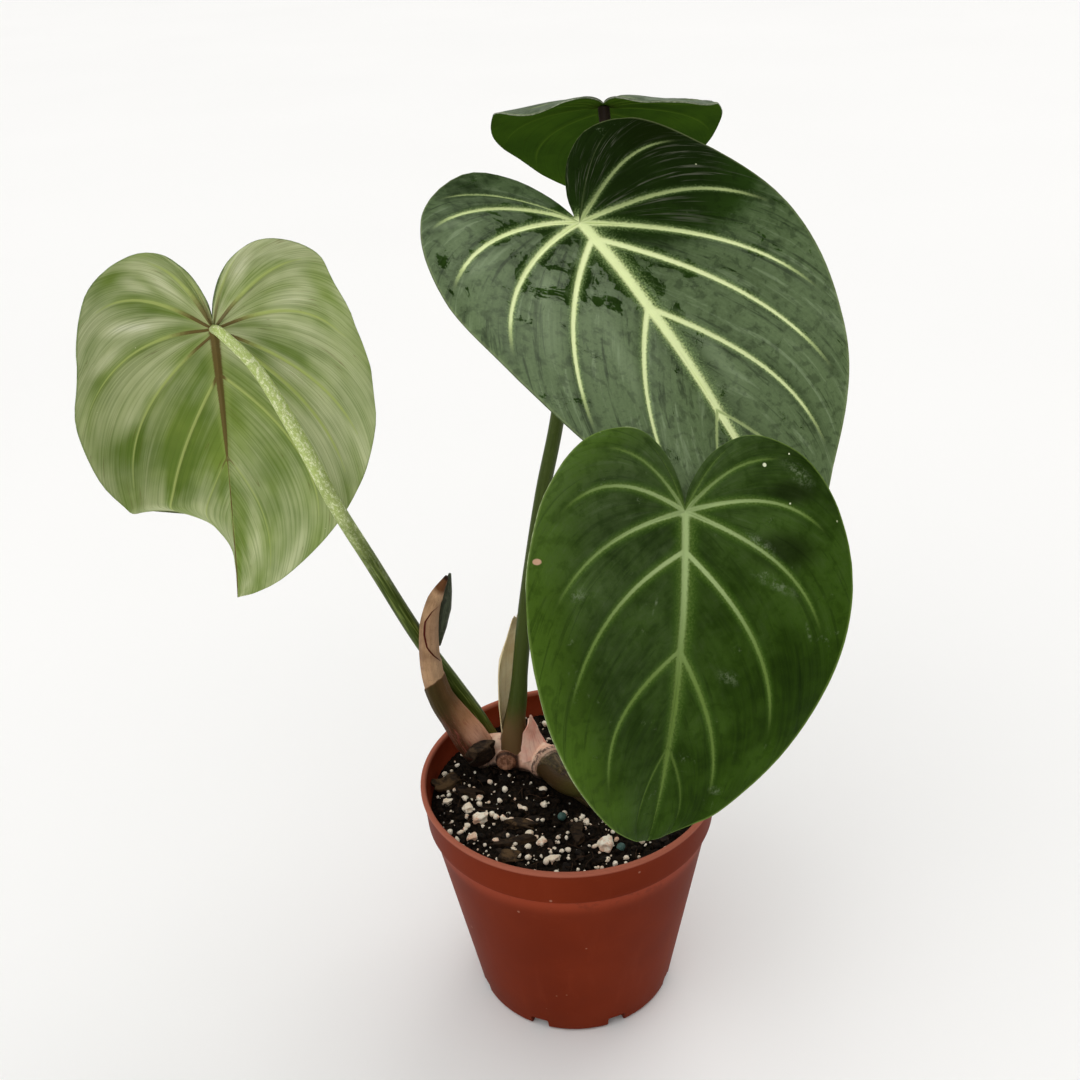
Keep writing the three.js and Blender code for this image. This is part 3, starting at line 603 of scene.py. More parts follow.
# %% Two halves, one skin, two faces
def build_blade(name, leaf):
    blade = joined(half_blade(name, leaf, 1), half_blade(name + "_half", leaf, -1))
    with edit_all():
        bpy.ops.mesh.remove_doubles(threshold=0.02 * MM)
        bpy.ops.mesh.dissolve_degenerate(threshold=0.001 * MM)
    weigh(blade, "body", 1 - 0.5 * smooth(read_mark(blade, "rim"), 0.9, 1.0))
    for _ in range(3):
        blade.data.materials.append(None)
    apply_modifier(blade, "SOLIDIFY", thickness=BLADE * MM, offset=0, use_rim=True, use_even_offset=False,
                   vertex_group="body", material_offset=1, material_offset_rim=2)
    co, normal = read_points(blade), read_points(blade, "normal")
    rows, _ = leaf_frame(leaf)
    first_skin = np.arange(len(co)) < len(co) // 2
    first_is_upper = float((normal[first_skin] @ rows[2]).mean()) > 0
    lift = np.where(first_skin == first_is_upper, SUNK_ABOVE, PROUD_BELOW)
    co += normal * (read_mark(blade, "rib") * lift * MM)[:, None]
    low, high = (np.array(v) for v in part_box("leaf_" + name.split("_")[1]))
    move_points(blade, np.clip(co, low, high))
    return blade, first_is_upper


# %% [markdown]
# ## The upper face: satin green with pale veins
# The upper face is deep green under a grey satin sheen painted into its colour, and a real satin coat in the
# same pattern; both are broken into ragged islands along the fine veins. The main veins are pale
# yellow-green with feathered edges. A flat green with painted lines would look printed, so the painted
# sheen, the feathering and the blotches each get their own noise, laid out on the fan so that they run with
# the veins.

# %% Upper face
def upper_face(name, deep, fresh, painted_sheen, glint, pale, level, sheen_slope, holes, vein_strength, feather, halo=0.35,
               satin=0.6, core=None, core_reach=30, fuzz=0.3, nick=None, lobe_shade=None, sunny=None, rim=0.5,
               shadows=(), scuffs=(), dots=(), sheens=(), halo_tint=None, hair=None, gloss=0.03, deepen=1.0):
    """level and the pair after it say how much grey satin sheen is painted on at the stalk and how that
    changes per centimetre.
    """
    f = Finish(name, Specular_IOR_Level=gloss, Coat_Roughness=0.34, Coat_IOR=1.45)
    fan, flat, vein, glow = f.chart("fan"), f.chart("flat"), f.mark("vein"), f.mark("glow")
    row, across, along = f.part(fan, 1), f.part(flat, 0), f.part(flat, 1)
    fine = f.streaks(fan, (150, 3.2, 1), 3, 0.6)
    wide = f.streaks(fan, (30, 3.4, 1), 8, 0.72, 0.5)
    crease = f.streaks(fan, (58, 2.4, 1), 6, 0.66, 0.5)
    sweep = f.streaks(fan, (11, 1.6, 1), 3, 0.5)
    blotch, grain = f.noise(flat, 0.33, 3, 0.55, 0.4), f.noise(flat, 9.0, 4, 0.65)
    dapple, isles = f.noise(flat, 2.6, 4, 0.6, 0.3), f.noise(flat, 0.95, 9, 0.66, 0.7)
    fringe = f.noise(flat, 15.0, 5, 0.85) - 0.5
    drawn = (vein + fringe * feather).rise(-0.2, 0.4) * glow
    hairs = (vein + fringe * feather * 2.4).rise(-1.2, 0.5) * fuzz * glow
    # The oval for the top lobe is painted shade, where that lobe turns away from the light: less sheen,
    # dimmer veins, a dark tone and painted grey highlight streaks.
    dark = f.spot(flat, *lobe_shade[:3], lobe_shade[2], soft=0.55) if lobe_shade else 0
    drawn, hairs = drawn * (1 - dark * 0.5), hairs * (1 - dark * 0.5)
    beside = (vein + fringe).rise(-3.0, -0.8)
    close = f.spot(flat, 1.9, 1.7, 4.6, 3.4, soft=0.8)
    round_stalk = f.spot(flat, -0.6, 1.6, 6.4, 5.4, soft=0.9)
    bright_side = row.rise(0.45, 1.0) * across.rise(0, 3) if sunny else 0
    # How much satin sheen is painted on at each point; the same amount sets the real coat below.
    thick = across * sheen_slope[0] + along * sheen_slope[1] + level + (blotch - 0.5) * 0.8 + (dapple - 0.5) * 0.3
    thick = (thick - dark * 1.2 - bright_side * 0.3).rise(0, 1)
    isles = isles + beside * (round_stalk * 0.14 + 0.03) + close * 0.085
    torn = (wide + (fine - 0.5) * 0.3 - thick * 0.06).rise(0.6, 0.63)
    ragged = isles.rise(0.632, 0.648).most(torn) * holes
    shore = (isles - 0.612).size().rise(0.007, 0.002) * wide.rise(0.4, 0.55) * holes * 0.75
    sheen_cover = thick * (1 - ragged)
    f.ground(blotch.rise(0.32, 0.7), deep, fresh)
    if sunny:
        f.lay(bright_side * 0.55, sunny)
    f.lay(fine.rise(0.3, 0.75) * 0.35, fresh)
    # The grey satin sheen, painted into the colour.
    f.lay(sheen_cover * (0.6 + sweep * 0.6 + (fine - 0.5) * 0.6 + (fringe + grain - 0.5) * 0.8), painted_sheen)
    # Painted highlights along the creases, and painted shade in them.
    f.lay(crease.rise(0.54, 0.66) * thick * 0.5, glint)
    f.lay(crease.rise(0.44, 0.36) * 0.4 * deepen, deep)
    f.lay(dapple.rise(0.5, 0.36) * 0.28 * deepen, deep)
    f.lay(dapple.rise(0.55, 0.68) * thick * 0.3, painted_sheen)
    # Painted shade in the troughs beside the veins, where the blade dips.
    f.lay(vein.rise(-5.0, -1.2) * blotch.rise(0.35, 0.6) * 0.3, deep)
    for oval in sheens:
        patch = f.spot(flat, *oval, soft=0.9) * (0.35 + sweep * 0.5 + (fine - 0.5) * 0.8)
        f.lay(patch * (1 - ragged) * 0.45, glint)
    f.lay(shore, deep)
    # Painted shade on the top lobe, and painted grey highlight streaks in it.
    if lobe_shade:
        f.lay(dark * 0.75, lobe_shade[3])
        f.lay(fine.rise(0.52, 0.68) * sweep.rise(0.42, 0.6) * dark * 0.8, "5e6052")
    for oval in shadows:
        f.lay(f.spot(flat, *oval, soft=0.8) * 0.75, "121c04")
    f.lay((vein + fringe).rise(-2.6, 0.2) * halo * glow, halo_tint or fresh)
    f.lay(hairs * vein_strength, hair or pale)
    f.lay(drawn * vein_strength * (0.85 + grain * 0.3), pale)
    if core:
        lit = f.spot(flat, 0, 0, core_reach, core_reach, soft=0.75) * (1 - dark * 0.9)
        f.lay((vein + fringe * 0.8).rise(0.0, 0.6) * glow.rise(0.6, 1.0) * lit * 0.85, core)
    f.lay(row.rise(0.978, 0.996) * (0.3 + grain) * rim, pale)
    speckle = f.noise(flat, 5.0, 6, 0.85)
    scuff = speckle.rise(0.54, 0.64) * f.noise(flat, 0.95, 3, 0.6).rise(0.6, 0.7) * 0.5
    for oval in scuffs:
        scuff = scuff.most(speckle.rise(0.45, 0.65) * f.spot(flat, *oval, soft=1.0) * 0.6)
    f.lay(scuff, "8c9a78")
    f.lay(f.specks(flat, 1.3, 0.05, 0.04), "c4caa0")
    for x, y, size in dots:
        f.lay(f.spot(flat, x, y, size, size, soft=0.3), "e2e8c4")
    if nick:
        f.lay(f.spot(flat, *nick, 0.15, 0.09, soft=0.3), "c9a184")
    # The real satin coat follows the painted sheen.
    coat = (sheen_cover * 0.95 + 0.02) * (1 - drawn * 0.6) * satin
    height = fine * 0.07 + wide * 0.08 + crease * 0.28 + grain * 0.02 + (sweep + dapple) * 0.2 - drawn * 0.1
    return f.wear(0.42 + grain * 0.16 + drawn * 0.12, height, coat)


# %% [markdown]
# ## The underside: pale, with a painted silver sheen between fine lines, and raised ribs
# The underside has no satin coat. It shows the fine veins as close lines, a silver sheen painted where the
# skin bulges, with painted highlights and painted shade in given ovals, and its ribs go from brown at the
# stalk to yellow-green. The lines are again noise on the fan, stretched far along it.

# %% Underside
def under_face(name, base, fresh, sheen_strength, brown_reach, sheen_silver="66764a", rib_tint="7c8c46",
               stalk_tint="4c4226", rib_strength=0.9, sheen_slope=(0, 0, 0), shine="f4f5dc", hollow=None,
               gloss=0.02, dim=None, sheen_between_veins=0.0, sheen_spots=()):
    """The slope gives the painted silver sheen gained across, along and over the tip; the hollow is an oval
    of painted shade, and the other ovals are painted highlight, or painted shade where their amount is
    negative.
    """
    f = Finish(name, Specular_IOR_Level=gloss)
    fan, flat, seam, glow = f.chart("fan"), f.chart("flat"), f.mark("seam"), f.mark("glow")
    across, along, row = f.part(flat, 0), f.part(flat, 1), f.part(fan, 1)
    lines = f.streaks(fan, (250, 1.3, 1), 2, 0.6)
    sparse = f.streaks(fan, (70, 0.9, 1), 1, 0.4)
    hair = (sparse - 0.5).size().rise(0.007, 0.001) * f.noise(flat, 0.9, 3).rise(0.42, 0.6)
    sweep = f.streaks(fan, (13, 1.5, 1), 3, 0.5, 0.15)
    blotch, grain = f.noise(flat, 0.35, 3, 0.55), f.noise(flat, 12.0, 3, 0.6)
    # Where the silver sheen is painted: on the bulges between the veins and in the bright ovals, less in the
    # shaded hollow and the dark ovals.
    sheen_mask = (across.size() * sheen_slope[0] + along * sheen_slope[1] + (along - 4.5).most(0.0) * sheen_slope[2]
             + 0.4 + (sweep - 0.5) * 1.9 + (blotch - 0.5) * 0.6)
    if hollow:
        *oval, depth = hollow
        sheen_mask = sheen_mask - f.spot(flat, *oval, soft=0.8) * across.rise(0.25, -0.15) * depth
    sheen_mask = sheen_mask + (0.5 - f.mark("vein").rise(-5.0, -0.5) * glow) * sheen_between_veins
    for *oval, amount in sheen_spots:
        sheen_mask = sheen_mask + f.spot(flat, *oval, soft=1.0) * (sweep * 0.6 + 0.7) * amount
    f.ground(blotch.rise(0.35, 0.65), base, fresh)
    # The painted silver sheen, then a painted highlight where it is strongest.
    f.lay((sheen_mask + (lines - 0.5) * 0.4).rise(-0.1, 1.35) * sheen_strength, sheen_silver)
    f.lay((sheen_mask + (lines - 0.5) * 0.8).rise(1.0, 1.6) * sheen_strength * 0.85, shine)
    f.lay(lines.rise(0.55, 0.36) * 0.28, dim or base)
    f.lay(hair * 0.45, stalk_tint)
    crest = (seam + (grain - 0.5) * 0.4).rise(-0.1, 0.35) * (0.35 + glow * 0.65)
    middle = across.size().rise(0.3, 0.15) * along.rise(-0.2, 0.2)
    brown = (f.far(flat) + (grain - 0.5) * 0.4).rise(brown_reach, brown_reach * 0.4).most(middle)
    f.lay((seam + (grain - 0.5) * 0.5).rise(-2.2, 0.0) * glow * 0.25, rib_tint)
    f.lay(crest * rib_strength, f.blend(brown, rib_tint, stalk_tint))
    f.lay(row.rise(0.985, 0.998) * 0.4, base)
    f.lay(f.specks(flat, 2.4, 0.05, 0.08) * 0.7, "dfe3b4")
    height = lines * 0.05 + sweep * 0.15 + grain * 0.02
    return f.wear(0.42 + grain * 0.16, height)


def cut_edge(name, tint, dark):
    f = Finish(name, Roughness=0.5, Specular_IOR_Level=0.2)
    f.ground(f.noise(f.place(), 700, 3).rise(0.3, 0.7), dark, tint)
    return f.wear()


# %% The four blades
SHEENS = [(4.9, -1.1, 1.2, 0.3, -12), (4.9, 0.8, 1.3, 0.4, 15), (3.4, 2.2, 1.2, 0.4, 40),
          (4.4, 3.6, 2.0, 0.6, 55), (2.6, 5.4, 2.4, 0.6, 75), (-1.0, 6.0, 2.4, 0.5, 95),
          (-5.6, 7.2, 1.8, 0.3, 120)]
# Ovals of painted highlight on the left underside, and of painted shade where the last number is negative.
SHEEN_SPOTS = [(-1.3, -1.6, 1.4, 0.35, 55, 0.5), (-2.2, -1.85, 0.9, 0.3, 35, 0.45),
         (-2.65, -0.6, 1.3, 0.4, 12, 0.6), (-3.5, 0.2, 1.0, 0.45, -20, 0.45),
         (1.0, -1.9, 1.2, 0.4, -62, 0.6), (2.6, -1.0, 1.2, 0.55, -15, 0.6), (1.7, -0.3, 1.0, 0.4, -5, 0.35),
         (2.1, 1.5, 1.2, 0.6, 45, 0.65), (-1.75, 1.5, 1.0, 0.35, -45, 0.45), (3.6, 3.9, 2.8, 1.6, 70, 0.5),
         (0.4, 0.1, 1.8, 1.3, 70, 0.65), (-3.6, 3.6, 1.4, 1.2, 0, -0.45), (3.5, -1.6, 1.2, 0.7, 60, -0.5),
         (-2.9, -2.3, 1.2, 0.6, 140, -0.4)]
FACES = {
    "crown": (
        dict(deep="16240a", fresh="2c4416", painted_sheen="61744c", glint="8a9c76", pale="ccdc94", core="ecf6ba",
             hair="a8c47c", level=0.44, sheen_slope=(0.045, 0.1), holes=1.0, vein_strength=1.0, feather=3.0,
             satin=0.42, rim=0.15, fuzz=0.42, lobe_shade=(-3.6, -1.5, 4.7, "121d07"), sheens=SHEENS, gloss=0.0,
             deepen=1.5, shadows=((-4.6, -1.7, 2.2, 1.3),)),
        dict(base="3c4e1c", fresh="4a5c26", sheen_strength=0.4, brown_reach=2.0),
        ("5a6c40", "3c4e28"), "leaf_dark"),
    "front": (
        dict(deep="182a04", fresh="385410", painted_sheen="505f3c", glint="6a7a56", pale="6f8840", core="acc084",
             core_reach=5.5, halo_tint="40601a", level=0.34, sheen_slope=(0.04, -0.03), holes=0.25,
             vein_strength=0.95, feather=2.6, halo=0.55, satin=0.32, fuzz=0.45, rim=0.9, nick=(4.8, 1.47),
             sunny="5a7a26", shadows=((-2.97, 1.05, 1.5, 0.8), (-3.2, -0.6, 1.2, 0.5)),
             scuffs=((-2.7, 2.0, 1.1, 0.22, 157), (1.03, 2.55, 0.45, 0.07, 70),
                     (-3.85, 3.34, 0.4, 0.1, 110), (3.58, 2.29, 0.4, 0.25, 20),
                     (-1.47, 4.66, 0.5, 0.3, 160), (-1.66, 8.14, 0.3, 0.2, 0),
                     (-3.4, -1.13, 0.8, 0.35, 140), (-2.2, 0.9, 0.9, 0.3, 150)),
             dots=((-2.36, -1.35, 0.065), (-3.12, -1.7, 0.03), (-3.14, -0.29, 0.03))),
        dict(base="3a5016", fresh="486020", sheen_strength=0.35, brown_reach=1.5),
        ("a0b07c", "6e8048"), "leaf_green"),
    "back": (
        dict(deep="26380f", fresh="3a4f22", painted_sheen="74806a", glint="94a088", pale="a8b67c", level=0.62,
             sheen_slope=(0, 0.03), holes=0.5, vein_strength=0.85, feather=2.0, satin=0.6),
        dict(base="2c4412", fresh="365014", sheen_silver="3e5816", rib_tint="48621c", stalk_tint="2a2c0e",
             sheen_strength=0.25, brown_reach=0.8, rib_strength=0.45, shine="4a641e", gloss=0.0, dim="26390e"),
        ("9aa088", "5c6848"), "leaf_dark"),
    "left": (
        dict(deep="24380e", fresh="3a5420", painted_sheen="5f7050", glint="8c9e7e", pale="a8b878", level=0.5,
             sheen_slope=(0.04, 0.05), holes=0.7, vein_strength=0.9, feather=2.0, satin=0.5),
        dict(base="6c8438", fresh="849a44", sheen_silver="e0e4b6", rib_tint="b4c270", stalk_tint="6e5a34",
             sheen_strength=0.88, brown_reach=1.7, rib_strength=0.95, sheen_slope=(0.02, -0.02, 0.04), dim="546e28",
             sheen_between_veins=0.25, hollow=(-1.2, 4.3, 2.1, 2.52, 0.55), sheen_spots=SHEEN_SPOTS),
        ("8a9a66", "5f7040"), "leaf_pale"),
}
for name, (top, under, margin, slot) in FACES.items():
    blade, top_first = build_blade("blade_" + name, LEAVES[name])
    faces = [upper_face(name + "_upper", **top), under_face(name + "_under", **under)]
    edge = cut_edge(name + "_margin", *margin)
    settle(blade, ["leaf_" + name], slot, *(faces if top_first else faces[::-1]), edge, sharp=70)

# %% [markdown]
# ## The stalks
# A stalk is a stem that tapers and leans, round in section with a shallow groove down one side. It could be
# a cylinder that is bent, but a curve with a round bevel and a radius at each point is how a stem is drawn
# by hand. The curve is made a mesh, the groove is pressed in, and the top is sliced off under the blade.
# Each point also remembers where it would be if the stem were straight, so that streaks in the finish run
# along it.

# %% Stems from curves
def even_line(points, count):
    """A smooth line through the points, at even steps, and its length."""
    dense = through(points, np.linspace(0, 1, 500), even=False)
    run = np.concatenate([[0], np.cumsum(np.linalg.norm(np.diff(dense, axis=0), axis=1))])
    at = np.linspace(0, run[-1], count)
    return np.column_stack([np.interp(at, run, dense[:, k]) for k in range(3)]), run[-1]


def round_frame(path, side):
    """Two directions square to a line at each of its points, the first as close to side as it can be."""
    along = unit(np.gradient(path, axis=0))
    first = unit(np.array(side, float) - along * (along @ np.array(side, float))[:, None])
    return first, np.cross(along, first)


def straighten(obj, path, length, side=(1, 0, 0)):
    """Keeps where each vertex is on the straightened stem: two offsets and the way along it."""
    a, b = round_frame(path, side)
    co = read_points(obj) / MM
    near = np.array([np.argmin(((path - p) ** 2).sum(1)) for p in co])
    off, run = co - path[near], near / (len(path) - 1) * length
    straight = np.column_stack([(off * a[near]).sum(1), (off * b[near]).sum(1), run])
    obj.data.attributes.new("straight", "FLOAT_VECTOR", "POINT").data.foreach_set("vector", straight.ravel())
    return co, near, straight


def stem(name, points, radii, rings=90, roundness=5, side=(1, 0, 0), press=None):
    """A stem along the points; press gives a factor for its radius from angle, way along and radius."""
    path, length = even_line(points, rings)
    clear()
    bpy.ops.curve.primitive_nurbs_path_add()
    curve = named(name)
    data = curve.data
    data.splines.clear()
    line = data.splines.new("POLY")
    line.points.add(rings - 1)
    line.points.foreach_set("co", np.column_stack([path * MM, np.ones(rings)]).ravel())
    line.points.foreach_set("radius", read_at(radii, np.linspace(0, 1, rings)))
    data.dimensions, data.bevel_depth, data.bevel_resolution, data.use_fill_caps = "3D", MM, roundness, True
    pick(curve)
    bpy.ops.object.convert(target="MESH")
    obj = bpy.context.object
    co, near, straight = straighten(obj, path, length, side)
    across, up, run = straight.T
    if press:
        scale = press(np.arctan2(up, across), run, np.hypot(across, up))
        move_points(obj, (path[near] + (co - path[near]) * scale[:, None]) * MM)
    return obj


# %% Finish of a stalk
def stalk_finish(name, length, low, high, foot, streak, foot_at, tip=None, light="8a9a5a", speckle=0.3,
                 fade=(0.35, 0.75)):
    f = Finish(name, Specular_IOR_Level=0.12)
    straight = f.mark("straight", "Vector")
    up = f.part(straight, 2) / length
    lines = f.streaks(straight, (1.6, 1.6, 0.05), 3, 0.6)
    flecks = f.streaks(straight, (0.9, 0.9, 0.55), 6, 0.9)
    mottle = f.streaks(straight, (0.25, 0.25, 0.1), 3, 0.5)
    f.ground((up + (mottle - 0.5) * 0.25).rise(*fade), low, high)
    f.lay(lines.rise(0.45, 0.7) * 0.45, streak)
    f.lay(flecks.rise(0.48, 0.6) * speckle * (up + (mottle - 0.5) * 0.3).rise(*fade), light)
    f.lay((up + (mottle - 0.5) * 0.05).rise(foot_at, foot_at * 0.35), foot)
    if tip:
        f.lay((up + (lines - 0.5) * 0.03).rise(0.93, 0.975), tip)
    return f.wear(0.34 + lines * 0.2, lines * 0.12 + flecks * 0.1)


# %% The four stalks
STALKS = {
    "back": [[8, -8, 88], [10, 0, 108], [18, 25, 162], [24.5, 52, 225], [24, 76, 280], [21.6, 90.3, 316]],
    "crown": [[-20.5, 18.5, 90], [-19.7, 18.7, 104], [-18, 19, 114], [-16, 20, 131], [-13.3, 21.5, 151.6],
              [-10, 23, 171.6], [-5, 25.5, 198], [0.6, 28, 222], [6, 30, 255], [10.5, 31, 290]],
    "front": [[-10, 10.5, 89.5], [-3, -2, 90.5], [6, -15.5, 98.5], [17, -32, 130], [27, -47, 180],
              [35.4, -59.8, 231.2]],
    "left": [[-30, 27, 90], [-35.5, 26.5, 103], [-42.9, 25, 118.8], [-53.6, 22, 142], [-66.9, 15.5, 178.3],
             [-75.5, 11, 202], [-84.5, 7.5, 230.5], [-94.4, 4.8, 255.7], [-102.8, 4.2, 267],
             [-106.8, 10.2, 267]],
}
STALK_RADII = [3.6, 3.05, 2.7, 2.6, 2.3]
CROWN_RADII = [6.2, 3.9, 3.0, 2.9, 2.8, 2.7, 2.65, 2.6, 2.5, 2.4, 2.3, 2.2, 2.1]
UNDER_BLADE = 0.95
STALK_LOOKS = {
    "back": dict(low="3c4a18", high="4a5a22", foot="54481c", streak="2c3812", tip="2a2018", foot_at=0.1),
    "crown": dict(low="424f1c", high="4b5a24", foot="6e5636", streak="333f14", tip="7a685c", foot_at=0.13,
                  light="7a8a4a", speckle=0.15),
    "front": dict(low="4c481e", high="56632b", foot="3e2e18", streak="3a3c16", tip="6e6258", foot_at=0.2),
    "left": dict(low="3a4a10", high="c2d47e", foot="4a4a1c", streak="a2b45e", foot_at=0.06,
                 light="fbffd4", speckle=1.0, fade=(0.4, 0.72)),
}


def groove(angle, run, radius):
    """A shallow groove down one side, and faint ridges."""
    return 1 - 0.12 * hump(angle, 1.57, 0.5) + 0.012 * np.sin(5 * angle)


for name, line in STALKS.items():
    pale = name == "left"
    radii = CROWN_RADII if name == "crown" else [*STALK_RADII, 1.6 if pale else 2.1]
    stalk = stem("stalk_" + name, line, radii, press=groove)
    rows, base = leaf_frame(LEAVES[name])
    with edit_all():
        bpy.ops.mesh.bisect(plane_co=(base - rows[2] * UNDER_BLADE) * MM, plane_no=rows[2], use_fill=True,
                            clear_outer=True)
    _, length = even_line(line, 2)
    finish = stalk_finish("stalk_skin_" + name, length, **STALK_LOOKS[name])
    settle(stalk, ["petiole_" + name], "petiole_pale" if pale else "petiole", finish)

# %% [markdown]
# ## The creeping stem
# The stem creeps over the soil. It is pink and tan, swollen at its nodes, each with a dark scar ring, and
# it carries the stub of an old leaf and a bud. Three separate tubes would cross with hard seams, so they
# are joined and remeshed into one skin, which melts the joints together as on the real plant.

# %% Creeping stem
CREEPER = [[-36, 19.5, 88.5], [-29, 21.5, 89], [-20, 20, 89], [-11, 15, 89], [-4, 6.5, 89], [2, -2.5, 89],
           [9, -11, 88]]
CREEPER_RADII = [5.3, 6.6, 6.6, 5.2, 3.8, 3.0]
NODES_AT = [0.06, 0.3, 0.52, 0.76]
STUB = [[-22.5, 19, 89], [-23.4, 14.5, 90], [-24, 10.8, 90.6]]
STUB_RADII = [3.7, 3.4, 3.2, 3.5, 4.1, 4.1, 3.2]
STUB_SCAR = 12.2
BUD_AT, BUD_RADIUS = (-26.5, 19.5, 93.5), 3.4
OLIVE_FROM, DARKER_BELOW = (31, 34), (88.2, 86.2)
RINGS = 60
UP = (0, 0, 1)
creeper_path, creeper_length = even_line(CREEPER, RINGS)
share = np.linspace(0, 1, RINGS)
swollen = read_at(CREEPER_RADII, share) + sum(1.3 * hump(share, at, 0.05) for at in NODES_AT)
main_stem = stem("creeping_stem", CREEPER, swollen, rings=RINGS, roundness=8, side=UP)
stub = stem("stub", STUB, STUB_RADII, rings=20)
clear()
bpy.ops.mesh.primitive_ico_sphere_add(subdivisions=3, radius=BUD_RADIUS * MM, scale=(1.05, 1, 0.95),
                                      location=in_metres(BUD_AT))
creeper = joined(main_stem, stub, bpy.context.object)
creeper.data.attributes.remove(creeper.data.attributes["straight"])
apply_modifier(creeper, "REMESH", mode="VOXEL", voxel_size=0.42 * MM)
apply_modifier(creeper, "SMOOTH", factor=0.6, iterations=4)
straighten(creeper, creeper_path, creeper_length, side=UP)


def creeper_finish():
    f = Finish("creeping_stem_skin", Specular_IOR_Level=0.3)
    straight, place = f.mark("straight", "Vector"), f.place()
    s = f.part(straight, 2)
    patch, fine = f.noise(place, 90, 4, 0.6), f.noise(place, 700, 4, 0.7)
    wobble = (f.noise(place, 160, 4, 0.65) - 0.5) * 4
    ring = 0
    for at in NODES_AT:
        ring = (s + wobble - at * creeper_length).size().rise(1.1, 0.3).most(ring)
    streak = f.streaks(straight, (1.1, 1.1, 0.16), 5, 0.7)
    f.ground(patch.rise(0.35, 0.65), "f0b89a", "ffe0c6")
    f.lay(streak.rise(0.55, 0.68) * 0.6, "c26656")
    f.lay(fine.rise(0.62, 0.72) * 0.3, "8a5a42")
    olive = f.blend(fine.rise(0.35, 0.65), "261f0c", "4c3e1c")
    olive = f.blend(streak.rise(0.5, 0.62) * 0.7, olive, "6e5838")
    f.lay((s + wobble * 0.8).rise(*OLIVE_FROM), olive)
    f.lay(ring * fine.rise(0.35, 0.55) * 0.9, "33221a")
    x, y, z = f.place_parts()
    on_stub = y.rise(15.5, 13.5) * x.rise(-18, -19.5) * x.rise(-30.5, -29)
    f.lay(on_stub, f.blend(fine.rise(0.4, 0.6), "7a5038", "b07c60"))
    f.lay((y - STUB_SCAR).size().rise(0.9, 0.4) * on_stub * 0.8, "2c1c14")
    # Darker towards the bottom, where the stem lies on the soil.
    f.lay((z + wobble * 0.6).rise(*DARKER_BELOW) * 0.85, "1c150f")
    return f.wear(0.42 + patch * 0.2, streak * 0.5 + patch * 0.5 + fine * 0.25 - ring * 0.5)


settle(creeper, ["rhizome"], "rhizome", creeper_finish())

# %% [markdown]
# ## The new shoot in its sheath
# The newest growth is wrapped in a pinkish sleeve. Lower down an older sleeve ends in a slanting edge,
# above it the beige one opens along a dark red seam, and the tip has dried brown. The grooved, dark tip of
# the next leaf stands behind it. Both are stems from curves, and the sleeve's edge and opening are pressed
# into the skin as real steps.

# %% Shoot
SHOOT = [[-33, 19, 89.5], [-35.5, 18, 95], [-41.5, 18, 106.5], [-46.3, 18, 116], [-48.8, 18, 126],
         [-49.2, 18, 139], [-48, 18, 151], [-45, 18, 161], [-40.6, 18, 169]]
SHOOT_RADII = [6.6, 6.5, 5.2, 4.4, 4.1, 3.9, 3.6, 2.8, 0.7]
SEAM_AT = [47.8, 51.8, 55.7, 60.8, 65.9, 70.5, 73.7, 77]
SEAM_ANGLE = [-0.23, -1.1, -1.75, -2.06, -2.13, -1.59, -0.77, 0.3]
EDGE_ANGLE = [-3.14, -2.86, -1.9, -1.05, 0.16, 1.6, 3.14]
EDGE_AT = [35.5, 36.5, 39.1, 41, 41.4, 39, 35.5]


def sleeve_marks(angle, run):
    """How far past the old sleeve's edge a point is, and how far inside the seam, both in millimetres."""
    past = run - np.interp(angle, EDGE_ANGLE, EDGE_AT)
    inside = (angle - np.interp(run, SEAM_AT, SEAM_ANGLE, left=9, right=9)) * 3.8
    inside = np.where(angle > 1.3, -np.abs(angle - 1.3) * 3.8, inside)
    return past, np.clip(inside, -8, 8)


def sleeve_press(angle, run, radius):
    """A step at the old sleeve's edge, a hollow inside the seam, and fine pleats."""
    past, inside = sleeve_marks(angle, run)
    step = 0.38 * (1 - smooth(past, -0.15, 0.25)) * smooth(run, 4, 24) - 0.42 * smooth(inside, -0.1, 0.35)
    pleat = 0.1 * np.sin(9 * angle + 0.05 * run) * smooth(run, 0, 10) * (1 - smooth(run, 60, 80))
    return 1 + (step + pleat) / np.maximum(radius, 1.2)


shoot = stem("new_shoot", SHOOT, SHOOT_RADII, rings=240, roundness=22, press=sleeve_press)
straight = np.zeros(len(shoot.data.vertices) * 3)
shoot.data.attributes["straight"].data.foreach_get("vector", straight)
across, up, run = straight.reshape(-1, 3).T
for key, value in zip(("past", "inside"), sleeve_marks(np.arctan2(up, across), run)):
    set_mark(shoot, key, value)


